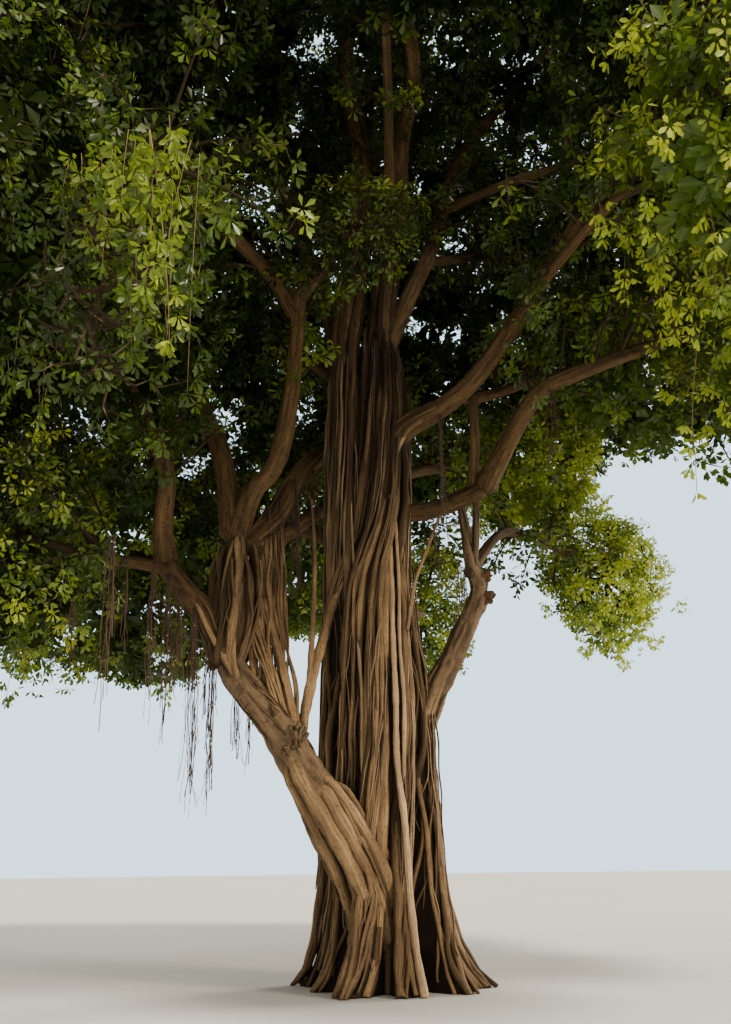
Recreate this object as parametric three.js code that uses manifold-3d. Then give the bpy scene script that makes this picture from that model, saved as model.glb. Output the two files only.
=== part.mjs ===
// Rubber tree: an old fig with a fluted trunk of fused aerial roots, a leaning second stem,
// a prop stem on the other side, rising boughs and a wide crown of dense leaf masses.
// Millimetres, +Z up. The origin is the middle of the flat cut under the trunk, and -Y is the front.
import * as THREE from "three";
import { mergeVertices } from "three/addons/utils/BufferGeometryUtils.js";
import Module from "manifold-3d";

const wasm = await Module();
wasm.setup();

// Clearances
const GAP = 0.6; // between two pieces that meet, and at least half of it square to a slanting face
const LIMB_CLEARANCE = 40; // between a leaf mass and a limb that passes it
const SPACE_MARGIN = 0.035; // share of a mass's reach kept free beside its neighbours

// Trunk: the axis leans a little and leaves its foot almost straight up
const TRUNK_AXIS = [
  [-60, 0, 0],
  [-150, 0, 1050],
  [-210, 0, 3000],
  [-310, 20, 5000],
  [-110, 120, 6400],
  [-50, 200, 8200],
  [-100, 300, 9600],
];
const TRUNK_RADIUS_AT = [
  [0, 980],
  [200, 860],
  [500, 770],
  [1100, 700],
  [2000, 665],
  [3000, 645],
  [4000, 610],
  [5000, 545],
  [6000, 380],
  [7300, 320],
  [8500, 300],
  [9600, 285],
];
const TRUNK_FLUTES = 9;
const SIDES_PER_FLUTE = 3;
const FLUTE_DEPTH = 0.1; // share of the radius
const ROOT_FLARE_DEPTH = 0.16; // more at the foot, where the flutes become root spurs
const ROOT_FLARE_HEIGHT = 900;
const FLUTE_TWIST = 0.00016; // radians for each millimetre of height

// The trunk's second column runs beside the first one and is one with it below its gap
const LEFT_COLUMN = {
  way: [
    [-420, 20, 3300],
    [-600, 60, 5000],
    [-660, 120, 6400],
    [-670, 200, 8200],
    [-640, 260, 9500],
  ],
  radius: [330, 260, 225, 210],
  sides: 9,
  steps: 6,
};

// An aerial root that has thickened runs from the trunk down to the leaning stem
const PROP_ROOT = {
  way: [
    [-600, -120, 5500],
    [-840, -300, 4830],
    [-1100, -700, 3700],
    [-1270, -930, 3150],
  ],
  radius: [70, 80, 100],
  sides: 6,
  steps: 5,
};

// Leaf masses: centre and half-widths of the space that each one fills
const MASSES = {
  leaves_low_left: { centre: [-6500, -1300, 6150], reach: [3100, 3000, 3000] },
  leaves_low_back_left: { centre: [-4900, 3900, 6750], reach: [3050, 2900, 2750] },
  leaves_low_back: { centre: [-1900, 5700, 8000], reach: [2800, 2600, 2850] },
  leaves_low_back_middle: { centre: [700, 5600, 6150], reach: [1150, 1400, 1800] },
  leaves_low_back_right: { centre: [2900, 4300, 8700], reach: [1900, 2100, 2150] },
  leaves_drooping_right: { centre: [3800, 3400, 6250], reach: [1300, 1450, 1550] },
  leaves_low_right: { centre: [6200, -2300, 8750], reach: [3100, 3100, 2350] },
  leaves_right_back: { centre: [5500, 1800, 9800], reach: [3000, 3050, 2600] },
  leaves_low_front_right: { centre: [4300, -6000, 8500], reach: [2600, 2600, 2200] },
  leaves_low_front_left: { centre: [-5200, -5200, 8400], reach: [3100, 3000, 2400] },
  leaves_inner_left: { centre: [-4000, -2300, 8700], reach: [2200, 2050, 2000] },
  leaves_hanging: { centre: [-2650, -6400, 6300], reach: [800, 780, 1500] },
  leaves_middle_left: { centre: [-6300, 1000, 11600], reach: [3200, 3500, 2900] },
  leaves_middle_back_left: { centre: [-3700, 5000, 11900], reach: [3600, 3200, 3400] },
  leaves_middle_back: { centre: [900, 5800, 11300], reach: [3500, 3000, 3400] },
  leaves_middle_back_right: { centre: [4600, 4500, 13200], reach: [3400, 3300, 3000] },
  leaves_middle_right: { centre: [6300, -400, 13200], reach: [3200, 3500, 2850] },
  leaves_middle_front_right: { centre: [4400, -4400, 12400], reach: [3500, 3300, 2800] },
  leaves_middle_front: { centre: [0, -6100, 12700], reach: [3500, 3000, 2500] },
  leaves_middle_front_left: { centre: [-4400, -4300, 12300], reach: [3500, 3400, 2750] },
  leaves_upper_left: { centre: [-4000, 700, 15800], reach: [3600, 3700, 2850] },
  leaves_upper_back: { centre: [100, 4000, 15800], reach: [3600, 3500, 2900] },
  leaves_upper_right: { centre: [3800, 800, 16400], reach: [3500, 3700, 2800] },
  leaves_upper_front: { centre: [0, -3200, 16400], reach: [3800, 3500, 2800] },
  leaves_top: { centre: [-100, 600, 18500], reach: [3600, 3500, 2350] },
  leaves_inner_front: { centre: [-400, -1900, 9900], reach: [1150, 900, 950] },
};

// Limbs, in the order in which each is cut clear of those before it. A limb starts inside the one
// that carries it, passes its way points, and where it has a mass it goes on to that mass's edge.
const LIMBS = {
  left_stem: {
    way: [
      [-250, -150, 350],
      [-330, -300, 950],
      [-520, -590, 1500],
      [-790, -820, 2000],
      [-1080, -950, 2470],
      [-1360, -1000, 2930],
      [-1710, -920, 3430],
      [-2060, -820, 3850],
      [-2230, -800, 4150],
    ],
    radius: [330, 320, 270, 205, 185],
    sides: 11,
    steps: 10,
  },
  left_bough: {
    way: [
      [-2160, -820, 3950],
      [-2500, -800, 4650],
      [-2770, -900, 4980],
      [-3040, -1000, 5370],
    ],
    radius: [170, 145],
    sides: 9,
    steps: 5,
    strands: [
      { from: [-2560, -900, 4620], drop: 1500 },
      { from: [-2680, -920, 4800], drop: 1000 },
      { from: [-2790, -960, 4940], drop: 2000 },
      { from: [-2900, -1000, 5090], drop: 1350 },
      { from: [-2990, -1040, 5210], drop: 2300 },
    ],
  },
  left_bough_rise: {
    way: [
      [-3010, -990, 5300],
      [-3070, -1100, 5760],
      [-3020, -1300, 6400],
      [-3130, -1600, 6860],
    ],
    mass: "leaves_inner_left",
    radius: [145, 120, 95],
    sides: 8,
    steps: 5,
  },
  left_bough_low: {
    way: [
      [-2980, -990, 5260],
      [-3540, -1100, 5330],
      [-3980, -1200, 5380],
    ],
    mass: "leaves_low_left",
    radius: [85, 65],
    sides: 6,
    steps: 4,
  },
  left_root_bundle: {
    way: [
      [-2190, -800, 3980],
      [-2110, -740, 4700],
      [-2150, -620, 5900],
    ],
    radius: [215, 290, 270, 200],
    flutes: 4,
    sides: 12,
    steps: 6,
  },
  middle_left_bough: {
    way: [
      [-2170, -620, 5700],
      [-1930, -700, 6390],
      [-1610, -800, 6790],
      [-1400, -900, 7740],
      [-1300, -1000, 8630],
      [-1250, -1150, 9220],
    ],
    mass: "leaves_inner_front",
    radius: [145, 125, 95],
    sides: 8,
    steps: 9,
  },
  left_fork_bough: {
    way: [
      [-2200, -620, 5750],
      [-2280, -550, 6370],
      [-2390, -450, 6970],
      [-2570, -300, 7500],
      [-3300, 200, 9000],
    ],
    mass: "leaves_middle_left",
    radius: [150, 140, 110, 80],
    sides: 7,
    steps: 7,
  },
  upper_left_bough: {
    way: [
      [-1290, -1050, 8950],
      [-1680, -1300, 9520],
      [-2360, -2200, 9840],
      [-2970, -3000, 10210],
    ],
    mass: "leaves_middle_front_left",
    radius: [105, 80],
    sides: 7,
    steps: 6,
  },
  front_left_bough: {
    way: [
      [-2660, -2600, 10020],
      [-3300, -3500, 9850],
    ],
    mass: "leaves_low_front_left",
    radius: [70, 55],
    sides: 6,
    steps: 4,
  },
  hanging_bough: {
    way: [
      [-2360, -2200, 9840],
      [-2450, -3700, 9600],
      [-2530, -5200, 8800],
    ],
    mass: "leaves_hanging",
    radius: [60, 38],
    sides: 6,
    steps: 5,
  },
  cross_bough: {
    way: [
      [-2100, -600, 5600],
      [-1690, -100, 6240],
      [-1400, 400, 7010],
      [-1030, 900, 7610],
      [-260, 1700, 8360],
      [200, 2800, 9200],
    ],
    mass: "leaves_middle_back",
    radius: [165, 110],
    sides: 8,
    steps: 8,
  },
  cross_bough_low: {
    way: [
      [-2000, -560, 5480],
      [-1500, 100, 6080],
      [-1000, 900, 6700],
      [-900, 2200, 7100],
    ],
    mass: "leaves_low_back",
    radius: [125, 80],
    sides: 7,
    steps: 6,
    strands: [
      {
        from: [-1180, 500, 6500],
        way: [
          [-1090, -250, 4900],
          [-1180, -880, 3400],
        ],
      },
    ],
  },
  right_bough: {
    way: [
      [-50, 150, 6380],
      [590, 0, 6370],
      [1020, -100, 6490],
      [1370, -210, 6640],
    ],
    radius: [120, 135],
    sides: 8,
    steps: 5,
  },
  right_bough_rise: {
    way: [
      [1350, -200, 6560],
      [1560, -300, 6970],
      [1800, -420, 7420],
      [2180, -700, 7900],
      [2650, -1020, 8020],
      [3240, -1400, 8130],
    ],
    mass: "leaves_low_right",
    radius: [150, 120, 95],
    sides: 8,
    steps: 7,
  },
  right_upright: {
    way: [
      [1180, -140, 6500],
      [1250, -240, 7200],
      [1270, -400, 8060],
    ],
    radius: [78, 68],
    sides: 6,
    steps: 3,
  },
  right_stem: {
    way: [
      [100, 0, 2600],
      [510, 0, 3620],
      [880, 0, 4310],
      [1230, 0, 5090],
      [1140, -50, 5590],
      [1010, -100, 6490],
    ],
    radius: [210, 150, 130],
    sides: 9,
    steps: 9,
  },
  low_right_bough: {
    way: [
      [1180, 0, 5500],
      [1800, 900, 6300],
      [2700, 1900, 6350],
    ],
    mass: "leaves_drooping_right",
    radius: [80, 55],
    sides: 6,
    steps: 4,
  },
  back_right_bough: {
    way: [
      [-20, 180, 6900],
      [700, 1300, 7500],
      [1500, 2200, 7900],
    ],
    mass: "leaves_low_back_right",
    radius: [95, 65],
    sides: 6,
    steps: 4,
  },
  middle_right_bough: {
    way: [
      [-50, 150, 7050],
      [210, 0, 7600],
      [760, -300, 7850],
      [1210, -560, 8130],
      [1770, -900, 8810],
      [2250, -1400, 9400],
      [2750, -2150, 9950],
    ],
    mass: "leaves_middle_front_right",
    radius: [155, 130, 100],
    sides: 8,
    steps: 9,
  },
  middle_right_fork: {
    way: [
      [1000, -430, 7960],
      [1500, 0, 8180],
      [2550, 700, 8850],
    ],
    mass: "leaves_right_back",
    radius: [90, 65],
    sides: 6,
    steps: 5,
  },
  front_right_bough: {
    way: [
      [1770, -900, 8810],
      [2300, -2500, 9050],
      [2700, -3800, 9000],
    ],
    mass: "leaves_low_front_right",
    radius: [80, 58],
    sides: 6,
    steps: 5,
  },
  back_left_bough: {
    way: [
      [-350, 200, 5600],
      [-1300, 1300, 6500],
      [-2400, 2300, 6750],
    ],
    mass: "leaves_low_back_left",
    radius: [135, 85],
    sides: 7,
    steps: 5,
  },
  back_bough: {
    way: [
      [-250, 150, 4300],
      [150, 1500, 5200],
      [550, 3000, 5500],
    ],
    mass: "leaves_low_back_middle",
    radius: [100, 60],
    sides: 6,
    steps: 5,
  },
  left_leader: {
    way: [
      [-640, 250, 9300],
      [-400, 300, 11200],
      [-360, 350, 12700],
      [-600, 450, 15000],
    ],
    mass: "leaves_top",
    radius: [215, 120],
    sides: 9,
    steps: 7,
  },
  right_leader: {
    way: [
      [-100, 300, 9400],
      [150, 150, 11200],
      [300, 0, 12700],
      [500, -500, 13600],
    ],
    mass: "leaves_upper_front",
    radius: [200, 120],
    sides: 9,
    steps: 6,
  },
  outer_right_leader: {
    way: [
      [-60, 250, 8900],
      [680, 600, 10880],
      [1030, 900, 12080],
      [1500, 1100, 13500],
    ],
    mass: "leaves_upper_right",
    radius: [150, 95],
    sides: 8,
    steps: 6,
  },
  outer_left_leader: {
    way: [
      [-660, 220, 8900],
      [-1250, 600, 10950],
      [-1670, 800, 12220],
      [-2000, 900, 13300],
    ],
    mass: "leaves_upper_left",
    radius: [140, 90],
    sides: 8,
    steps: 6,
  },
  back_left_leader: {
    way: [
      [-640, 220, 8500],
      [-1400, 1500, 9600],
      [-2200, 2700, 10300],
    ],
    mass: "leaves_middle_back_left",
    radius: [110, 75],
    sides: 7,
    steps: 5,
  },
  back_right_leader: {
    way: [
      [680, 600, 10880],
      [1700, 1800, 11700],
      [2500, 2700, 12200],
    ],
    mass: "leaves_middle_back_right",
    radius: [85, 65],
    sides: 6,
    steps: 5,
  },
  right_leader_branch: {
    way: [
      [1030, 900, 12080],
      [2200, 500, 12350],
      [3300, 200, 12550],
    ],
    mass: "leaves_middle_right",
    radius: [85, 62],
    sides: 6,
    steps: 5,
  },
  front_leader: {
    way: [
      [130, 150, 11100],
      [60, -1400, 11800],
      [0, -3100, 12100],
    ],
    mass: "leaves_middle_front",
    radius: [85, 62],
    sides: 6,
    steps: 5,
  },
  back_leader: {
    way: [
      [-370, 320, 12000],
      [-300, 1100, 13000],
      [-200, 1700, 13700],
    ],
    mass: "leaves_upper_back",
    radius: [90, 65],
    sides: 6,
    steps: 5,
  },
};

// A comb of aerial roots from the crossing boughs down to the crest of the leaning stem. The roots
// thicken downwards until they touch and are one.
const ROOT_CURTAIN = {
  count: 5,
  top: [
    [-1930, -560, 5600],
    [-1540, -200, 6080],
  ],
  foot: [
    [-1900, -870, 3680],
    [-1360, -960, 3050],
  ],
  radius: [46, 58, 92],
  bow: 50,
  sides: 6,
  steps: 4,
};

// Thin aerial roots that hang from a limb
const STRAND_RADIUS = [22, 9];
const LANDED_STRAND_RADIUS = [52, 68];
const STRAND_SIDES = 4;

// Rule of a mass: sprays stand on a golden-angle spiral over its core. Every fourth one is a twig
// with a spray at its tip, and the others spring from the core. A spray is one broad flat leaf.
const SPRAYS = 12;
const TWIG_EVERY = 4;
const CORE_SHARE = [0.71, 0.86]; // shares of the mass's reach
const CORE_CLEAR = 1.04;
const LIMB_END = 0.96;
const LAST_STRETCH = 0.06;
const SPRAY_FOOT = 0.5;
const SPRAY_TIP = 1.0;
const TWIG_FOOT = 0.5;
const TWIG_TIP = 0.88;
const TIP_SPRAY_LENGTH = 0.3; // share of the mean reach
const SHORTEST_SPRAY = 0.3; // share of its full length
const SPRAY_WIDTH = 0.52; // share of the spray's length
const SPRAY_THICKNESS = 0.1;
const SPRAY_LEAN = 0.5; // how far sprays turn from straight outwards
const TWIG_RADIUS = [52, 30];
const SIMPLER = 9; // corners of a mass nearer to a plain face than this are left out
const GOLDEN_ANGLE = Math.PI * (3 - Math.sqrt(5));

const BARK = { color: 0x6f5d49, roughness: 0.92, metalness: 0 };
const SMOOTH_BARK = { color: 0x8b7963, roughness: 0.85, metalness: 0 };
const FOLIAGE = { color: 0x47671f, roughness: 0.5, metalness: 0 };
const ROOT_BARK = { color: 0x7a6550, roughness: 0.9, metalness: 0 };

const vector = (point) => new THREE.Vector3(...point);

// A repeatable number from 0 to 1 for a whole number
function hashed(n) {
  const x = Math.sin(n * 127.1 + 11.7) * 43758.5453;
  return x - Math.floor(x);
}

// Value at x of a table of [x, value] rows, straight between rows
function fromTable(table, x) {
  let k = 1;
  while (k < table.length - 1 && table[k][0] < x) k += 1;
  const [x0, v0] = table[k - 1];
  const [x1, v1] = table[k];
  return THREE.MathUtils.lerp(v0, v1, THREE.MathUtils.clamp((x - x0) / (x1 - x0), 0, 1));
}

// Value at a share u of a list's length, straight between its entries
function alongList(list, u) {
  const place = u * (list.length - 1);
  const k = Math.min(Math.floor(place), list.length - 2);
  return THREE.MathUtils.lerp(list[k], list[k + 1], place - k);
}

// A closed mesh from rings of points: walls between the rings and a flat fan at both ends
function geometryFromRings(rings) {
  const sides = rings[0].length;
  const index = [];
  for (let i = 0; i + 1 < rings.length; i += 1) {
    for (let k = 0; k < sides; k += 1) {
      const a = i * sides + k;
      const b = i * sides + ((k + 1) % sides);
      index.push(a, b, b + sides, a, b + sides, a + sides);
    }
  }
  const last = (rings.length - 1) * sides;
  for (let k = 1; k + 1 < sides; k += 1) {
    index.push(0, k + 1, k, last, last + k, last + k + 1);
  }
  const geometry = new THREE.BufferGeometry().setFromPoints(rings.flat());
  geometry.setIndex(index);
  return geometry;
}

// The same geometry as a solid that can be joined and cut
function solidOf(geometry) {
  const bare = geometry.clone();
  for (const name of ["normal", "uv"]) bare.deleteAttribute(name);
  const merged = mergeVertices(bare, 1e-3);
  return new wasm.Manifold(
    new wasm.Mesh({
      numProp: 3,
      vertProperties: merged.attributes.position.array,
      triVerts: new Uint32Array(merged.index.array),
    }),
  );
}

// The largest body of a solid, without loose scraps and sealed hollows
function largestBody(solid) {
  const bodies = solid.decompose();
  return bodies.reduce((best, body) => (body.volume() > best.volume() ? body : best));
}

// Unit vectors across a direction, turned as little as possible from the last pair
function acrossFrom(direction, previous) {
  const side = previous.clone().addScaledVector(direction, -previous.dot(direction)).normalize();
  return [side, new THREE.Vector3().crossVectors(direction, side)];
}

// A tapering tube along a smooth curve. grow widens it and lengthens its ends by that much.
function tubeGeometry({ way, radius, sides, steps, flutes = 0 }, grow = 0) {
  const curve = new THREE.CatmullRomCurve3(way.map(vector), false, "catmullrom", 0.5);
  let side = new THREE.Vector3(0.31, -0.95, 0.05);
  let across;
  const rings = [];
  for (let i = 0; i <= steps; i += 1) {
    const u = i / steps;
    const centre = curve.getPointAt(u);
    const along = curve.getTangentAt(u);
    if (i === 0) centre.addScaledVector(along, -grow);
    if (i === steps) centre.addScaledVector(along, grow);
    [side, across] = acrossFrom(along, side);
    const r = alongList(radius, u);
    const ring = [];
    for (let k = 0; k < sides; k += 1) {
      const angle = (2 * Math.PI * k) / sides;
      const wave = 1 + (flutes ? FLUTE_DEPTH * Math.cos(flutes * angle + 2 * u) : 0);
      const reach = r * wave + grow;
      ring.push(
        centre
          .clone()
          .addScaledVector(side, reach * Math.cos(angle))
          .addScaledVector(across, reach * Math.sin(angle)),
      );
    }
    rings.push(ring);
  }
  return geometryFromRings(rings);
}

// The main column: level rings whose flutes deepen into root spurs at the foot
function columnGeometry(grow = 0) {
  const curve = new THREE.CatmullRomCurve3(TRUNK_AXIS.map(vector), false, "catmullrom", 0.5);
  const sides = TRUNK_FLUTES * SIDES_PER_FLUTE;
  const samples = curve.getPoints(200);
  const rings = TRUNK_RADIUS_AT.map(([height, radius], row) => {
    const centre = samples.reduce((a, b) =>
      Math.abs(b.z - height) < Math.abs(a.z - height) ? b : a,
    );
    const last = row === TRUNK_RADIUS_AT.length - 1;
    const depth = FLUTE_DEPTH + ROOT_FLARE_DEPTH * Math.exp(-height / ROOT_FLARE_HEIGHT);
    const ring = [];
    for (let k = 0; k < sides; k += 1) {
      const angle = (2 * Math.PI * k) / sides;
      const turn = FLUTE_TWIST * height;
      const wave = Math.cos(TRUNK_FLUTES * angle) + 0.6 * Math.cos(4 * angle + 1.3 + 3 * turn);
      const reach = radius * (1 + depth * wave) + grow;
      ring.push(
        new THREE.Vector3(
          centre.x + reach * Math.cos(angle + turn),
          centre.y + reach * Math.sin(angle + turn),
          height + (last ? grow : 0),
        ),
      );
    }
    return ring;
  });
  return geometryFromRings(rings);
}

function trunkSolid(grow = 0) {
  const tubes = [LEFT_COLUMN, PROP_ROOT].map((tube) => tubeGeometry(tube, grow));
  return wasm.Manifold.union([columnGeometry(grow), ...tubes].map(solidOf));
}

// A thin root that leaves a limb: it hangs free for its drop, or passes way points where it has them
function strandGeometry({ from, way, drop }, grow) {
  const low = way || [[from[0] + 15, from[1] - 40, from[2] - drop]];
  return tubeGeometry(
    {
      way: [from, ...low],
      radius: way ? LANDED_STRAND_RADIUS : STRAND_RADIUS,
      sides: way ? STRAND_SIDES + 2 : STRAND_SIDES,
      steps: way ? 4 : 1,
    },
    grow,
  );
}

function limbSolid(limb, grow = 0) {
  const strands = (limb.strands || []).map((strand) => strandGeometry(strand, grow));
  return wasm.Manifold.union([tubeGeometry(limb, grow), ...strands].map(solidOf));
}

// How far a point is from a mass's middle, as a share of the mass's reach
function shareOf(point, mass) {
  const d = point.clone().sub(vector(mass.centre));
  return Math.hypot(d.x / mass.reach[0], d.y / mass.reach[1], d.z / mass.reach[2]);
}

// Whether a point lies in a mass's own space: inside its reach, and nearer to it than to any other
function inOwnSpace(point, mass) {
  const own = shareOf(point, mass);
  if (own > 1) return false;
  return Object.values(MASSES).every(
    (other) => other === mass || own + SPACE_MARGIN < shareOf(point, other),
  );
}

// The point where a limb that comes from a given point ends, just inside its mass's reach
function entryPoint(from, mass) {
  const share = shareOf(from, mass);
  return vector(mass.centre).lerp(from, Math.min(LIMB_END, share - LAST_STRETCH) / share);
}

// Limb table with the last point of each mass-bearing limb worked out
function withEntry(limb) {
  if (!limb.mass) return limb;
  const last = vector(limb.way[limb.way.length - 1]);
  return { ...limb, way: [...limb.way, entryPoint(last, MASSES[limb.mass]).toArray()] };
}

const boxesMeet = (a, b) =>
  a.min.every((low, k) => low <= b.max[k]) && b.min.every((low, k) => low <= a.max[k]);

// Cuts a solid clear of every solid in a list that it might touch
function cutClear(solid, others) {
  const box = solid.boundingBox();
  const near = others.filter((other) => boxesMeet(box, other.boundingBox()));
  return near.reduce((left, other) => left.subtract(other), solid);
}

// Direction k of n on a golden-angle spiral over a sphere
function spiralDirection(k, n) {
  const z = 1 - (2 * k + 1) / n;
  const around = k * GOLDEN_ANGLE;
  const r = Math.sqrt(1 - z * z);
  return new THREE.Vector3(r * Math.cos(around), r * Math.sin(around), z);
}

// Point of a mass at a share of its reach along a direction
function massPoint(mass, direction, share) {
  return vector(mass.centre).add(
    direction.clone().multiply(vector(mass.reach)).multiplyScalar(share),
  );
}

// The core: a faceted ball with dents, whose corners stop short of the neighbours' space
function coreGeometry(mass) {
  const geometry = new THREE.IcosahedronGeometry(1, 1);
  const position = geometry.attributes.position;
  for (let i = 0; i < position.count; i += 1) {
    const direction = new THREE.Vector3().fromBufferAttribute(position, i).normalize();
    const key = Math.round(direction.x * 50 + direction.y * 1700 + direction.z * 290);
    let share = THREE.MathUtils.lerp(...CORE_SHARE, hashed(key + mass.centre[0]));
    while (share > 0.1 && !inOwnSpace(massPoint(mass, direction, share * CORE_CLEAR), mass)) {
      share -= 0.02;
    }
    const point = massPoint(mass, direction, share);
    position.setXYZ(i, point.x, point.y, point.z);
  }
  return geometry;
}

// A spray: one flat leaf of eight faces, pointed at both ends, from its root along a direction
function sprayGeometry(root, direction, length, roll) {
  const spray = new THREE.OctahedronGeometry(1);
  spray.scale((length * SPRAY_THICKNESS) / 2, (length * SPRAY_WIDTH) / 2, length / 2);
  spray.translate(0, 0, length / 2);
  spray.rotateZ(roll);
  spray.applyQuaternion(
    new THREE.Quaternion().setFromUnitVectors(new THREE.Vector3(0, 0, 1), direction),
  );
  spray.translate(root.x, root.y, root.z);
  return spray;
}

const corners = (geometry) => {
  const position = geometry.attributes.position;
  return Array.from({ length: position.count }, (_, i) =>
    new THREE.Vector3().fromBufferAttribute(position, i),
  );
};

// A spray as long as its mass's space allows, or nothing where that is too short
function fittedSpray(root, direction, full, roll, mass) {
  for (let length = full; length > SHORTEST_SPRAY * full; length *= 0.9) {
    const spray = sprayGeometry(root, direction, length, roll);
    if (corners(spray).every((point) => inOwnSpace(point, mass))) return [spray];
  }
  return [];
}

// The sprays and twigs that stand out of a mass's core
function sprayGeometries(mass) {
  const meanReach = (mass.reach[0] + mass.reach[1] + mass.reach[2]) / 3;
  return Array.from({ length: SPRAYS }, (_, k) => {
    const number = k + mass.centre[0] / 100;
    const direction = spiralDirection(k, SPRAYS);
    const lean = new THREE.Vector3(hashed(number), hashed(number + 0.3), hashed(number + 0.6))
      .subScalar(0.5)
      .multiplyScalar(SPRAY_LEAN);
    const heading = direction.clone().multiply(vector(mass.reach)).normalize().add(lean).normalize();
    const roll = Math.PI * hashed(number + 0.9);
    if (k % TWIG_EVERY) {
      const root = massPoint(mass, direction, SPRAY_FOOT);
      return fittedSpray(root, heading, (SPRAY_TIP - SPRAY_FOOT) * meanReach, roll, mass);
    }
    const foot = massPoint(mass, direction, TWIG_FOOT);
    const tip = massPoint(mass, direction, TWIG_TIP);
    if (!inOwnSpace(tip, mass)) return [];
    const twig = { way: [foot.toArray(), tip.toArray()], radius: TWIG_RADIUS, sides: 3, steps: 1 };
    const root = foot.clone().lerp(tip, 0.94);
    const spray = fittedSpray(root, heading, TIP_SPRAY_LENGTH * meanReach, roll, mass);
    return [tubeGeometry(twig), ...spray];
  }).flat();
}

// One leaf mass: stem, core and sprays, fused, and cut clear of the limbs round it
function massSolid(mass, limb, limbsGrown, limbsWide) {
  const middle = vector(mass.centre);
  const [before, tip] = limb.way.slice(-2).map(vector);
  const heading = tip.clone().sub(before).normalize();
  const tipRadius = limb.radius[limb.radius.length - 1];
  const stem = {
    way: [
      tip.clone().addScaledVector(heading, -20),
      tip.clone().lerp(middle, 0.3),
      tip.clone().lerp(middle, 0.75),
    ].map((p) => p.toArray()),
    radius: [tipRadius * 0.92, tipRadius * 0.6],
    sides: 5,
    steps: 2,
  };
  const body = wasm.Manifold.union([coreGeometry(mass), ...sprayGeometries(mass)].map(solidOf));
  const clear = cutClear(body, limbsWide).simplify(SIMPLER);
  return largestBody(clear.add(cutClear(solidOf(tubeGeometry(stem)), limbsGrown)));
}

// Roots from evenly spaced top points to evenly spaced foot points
function curtainSolid({ count, top, foot, bow, ...shape }, grow = 0) {
  const between = ([a, b], t) => vector(a).lerp(vector(b), t);
  const strands = Array.from({ length: count }, (_, k) => {
    const start = between(top, k / (count - 1));
    const end = between(foot, k / (count - 1));
    const low = start.clone().lerp(end, 0.66);
    low.x += bow * (0.5 + hashed(k + 3));
    return tubeGeometry({ ...shape, way: [start, low, end].map((p) => p.toArray()) }, grow);
  });
  return wasm.Manifold.union(strands.map(solidOf));
}

// A named mesh whose own origin is its lowest, nearest corner
function meshOf(name, solid, finish) {
  const { numProp, vertProperties, triVerts } = solid.getMesh();
  const [x0, y0, z0] = solid.boundingBox().min.map(Math.floor);
  const local = new Float32Array((vertProperties.length / numProp) * 3);
  for (let i = 0; i < local.length / 3; i += 1) {
    local[3 * i] = vertProperties[i * numProp] - x0;
    local[3 * i + 1] = vertProperties[i * numProp + 1] - y0;
    local[3 * i + 2] = vertProperties[i * numProp + 2] - z0;
  }
  const geometry = new THREE.BufferGeometry();
  geometry.setAttribute("position", new THREE.BufferAttribute(local, 3));
  geometry.setIndex(new THREE.BufferAttribute(triVerts, 1));
  geometry.computeVertexNormals();
  const mesh = new THREE.Mesh(geometry, new THREE.MeshStandardMaterial(finish));
  mesh.name = name;
  mesh.position.set(x0, y0, z0);
  return mesh;
}

const tree = new THREE.Group();
tree.name = "rubber_tree";

const wood = new THREE.Group();
const crown = new THREE.Group();
tree.add(wood, crown);

// Wood: each limb is cut clear of all that were made before it
const limbsGrown = [trunkSolid(GAP)];
const limbsWide = [trunkSolid(LIMB_CLEARANCE)];
const limbs = Object.entries(LIMBS).map(([name, limb]) => [name, withEntry(limb)]);
wood.add(meshOf("trunk", largestBody(trunkSolid()), BARK));
for (const [name, limb] of limbs) {
  const solid = largestBody(cutClear(limbSolid(limb), limbsGrown));
  wood.add(meshOf(name, solid, limb.flutes ? ROOT_BARK : SMOOTH_BARK));
  limbsGrown.push(limbSolid(limb, GAP));
  limbsWide.push(limbSolid(limb, LIMB_CLEARANCE));
}
const curtain = largestBody(cutClear(curtainSolid(ROOT_CURTAIN), limbsGrown));
wood.add(meshOf("root_curtain", curtain, ROOT_BARK));
limbsGrown.push(curtainSolid(ROOT_CURTAIN, GAP));

for (const [name, mass] of Object.entries(MASSES)) {
  const [, limb] = limbs.find(([, carrier]) => carrier.mass === name);
  crown.add(meshOf(name, massSolid(mass, limb, limbsGrown, limbsWide), FOLIAGE));
}

export default tree;
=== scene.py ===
"""Rubber tree: a fluted trunk of fused aerial roots, a leaning second stem, a prop stem on the
other side, hanging root curtains, rising boughs and a wide crown of whorled leaves.
Metres, +Z up. The origin is the middle of the flat cut under the trunk, and -Y is the front."""

from collections import namedtuple

import bpy
import numpy as np
from mathutils import Euler, Matrix, Vector


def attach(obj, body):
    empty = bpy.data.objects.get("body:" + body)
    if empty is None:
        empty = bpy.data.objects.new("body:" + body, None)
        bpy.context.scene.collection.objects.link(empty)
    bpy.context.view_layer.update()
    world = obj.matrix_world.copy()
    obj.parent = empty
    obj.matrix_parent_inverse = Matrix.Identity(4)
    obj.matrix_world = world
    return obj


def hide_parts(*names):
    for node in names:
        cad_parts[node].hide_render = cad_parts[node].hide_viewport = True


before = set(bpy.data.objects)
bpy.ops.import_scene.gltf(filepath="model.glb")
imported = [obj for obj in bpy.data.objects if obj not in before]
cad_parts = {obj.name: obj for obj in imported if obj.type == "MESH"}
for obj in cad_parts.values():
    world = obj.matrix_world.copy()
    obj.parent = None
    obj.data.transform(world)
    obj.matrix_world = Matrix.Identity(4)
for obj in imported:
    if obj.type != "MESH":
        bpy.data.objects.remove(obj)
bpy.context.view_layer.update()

Mass = namedtuple("Mass", "middle reach leaf density tone")
Limb = namedtuple("Limb", "way radius mass", defaults=[None])
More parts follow.
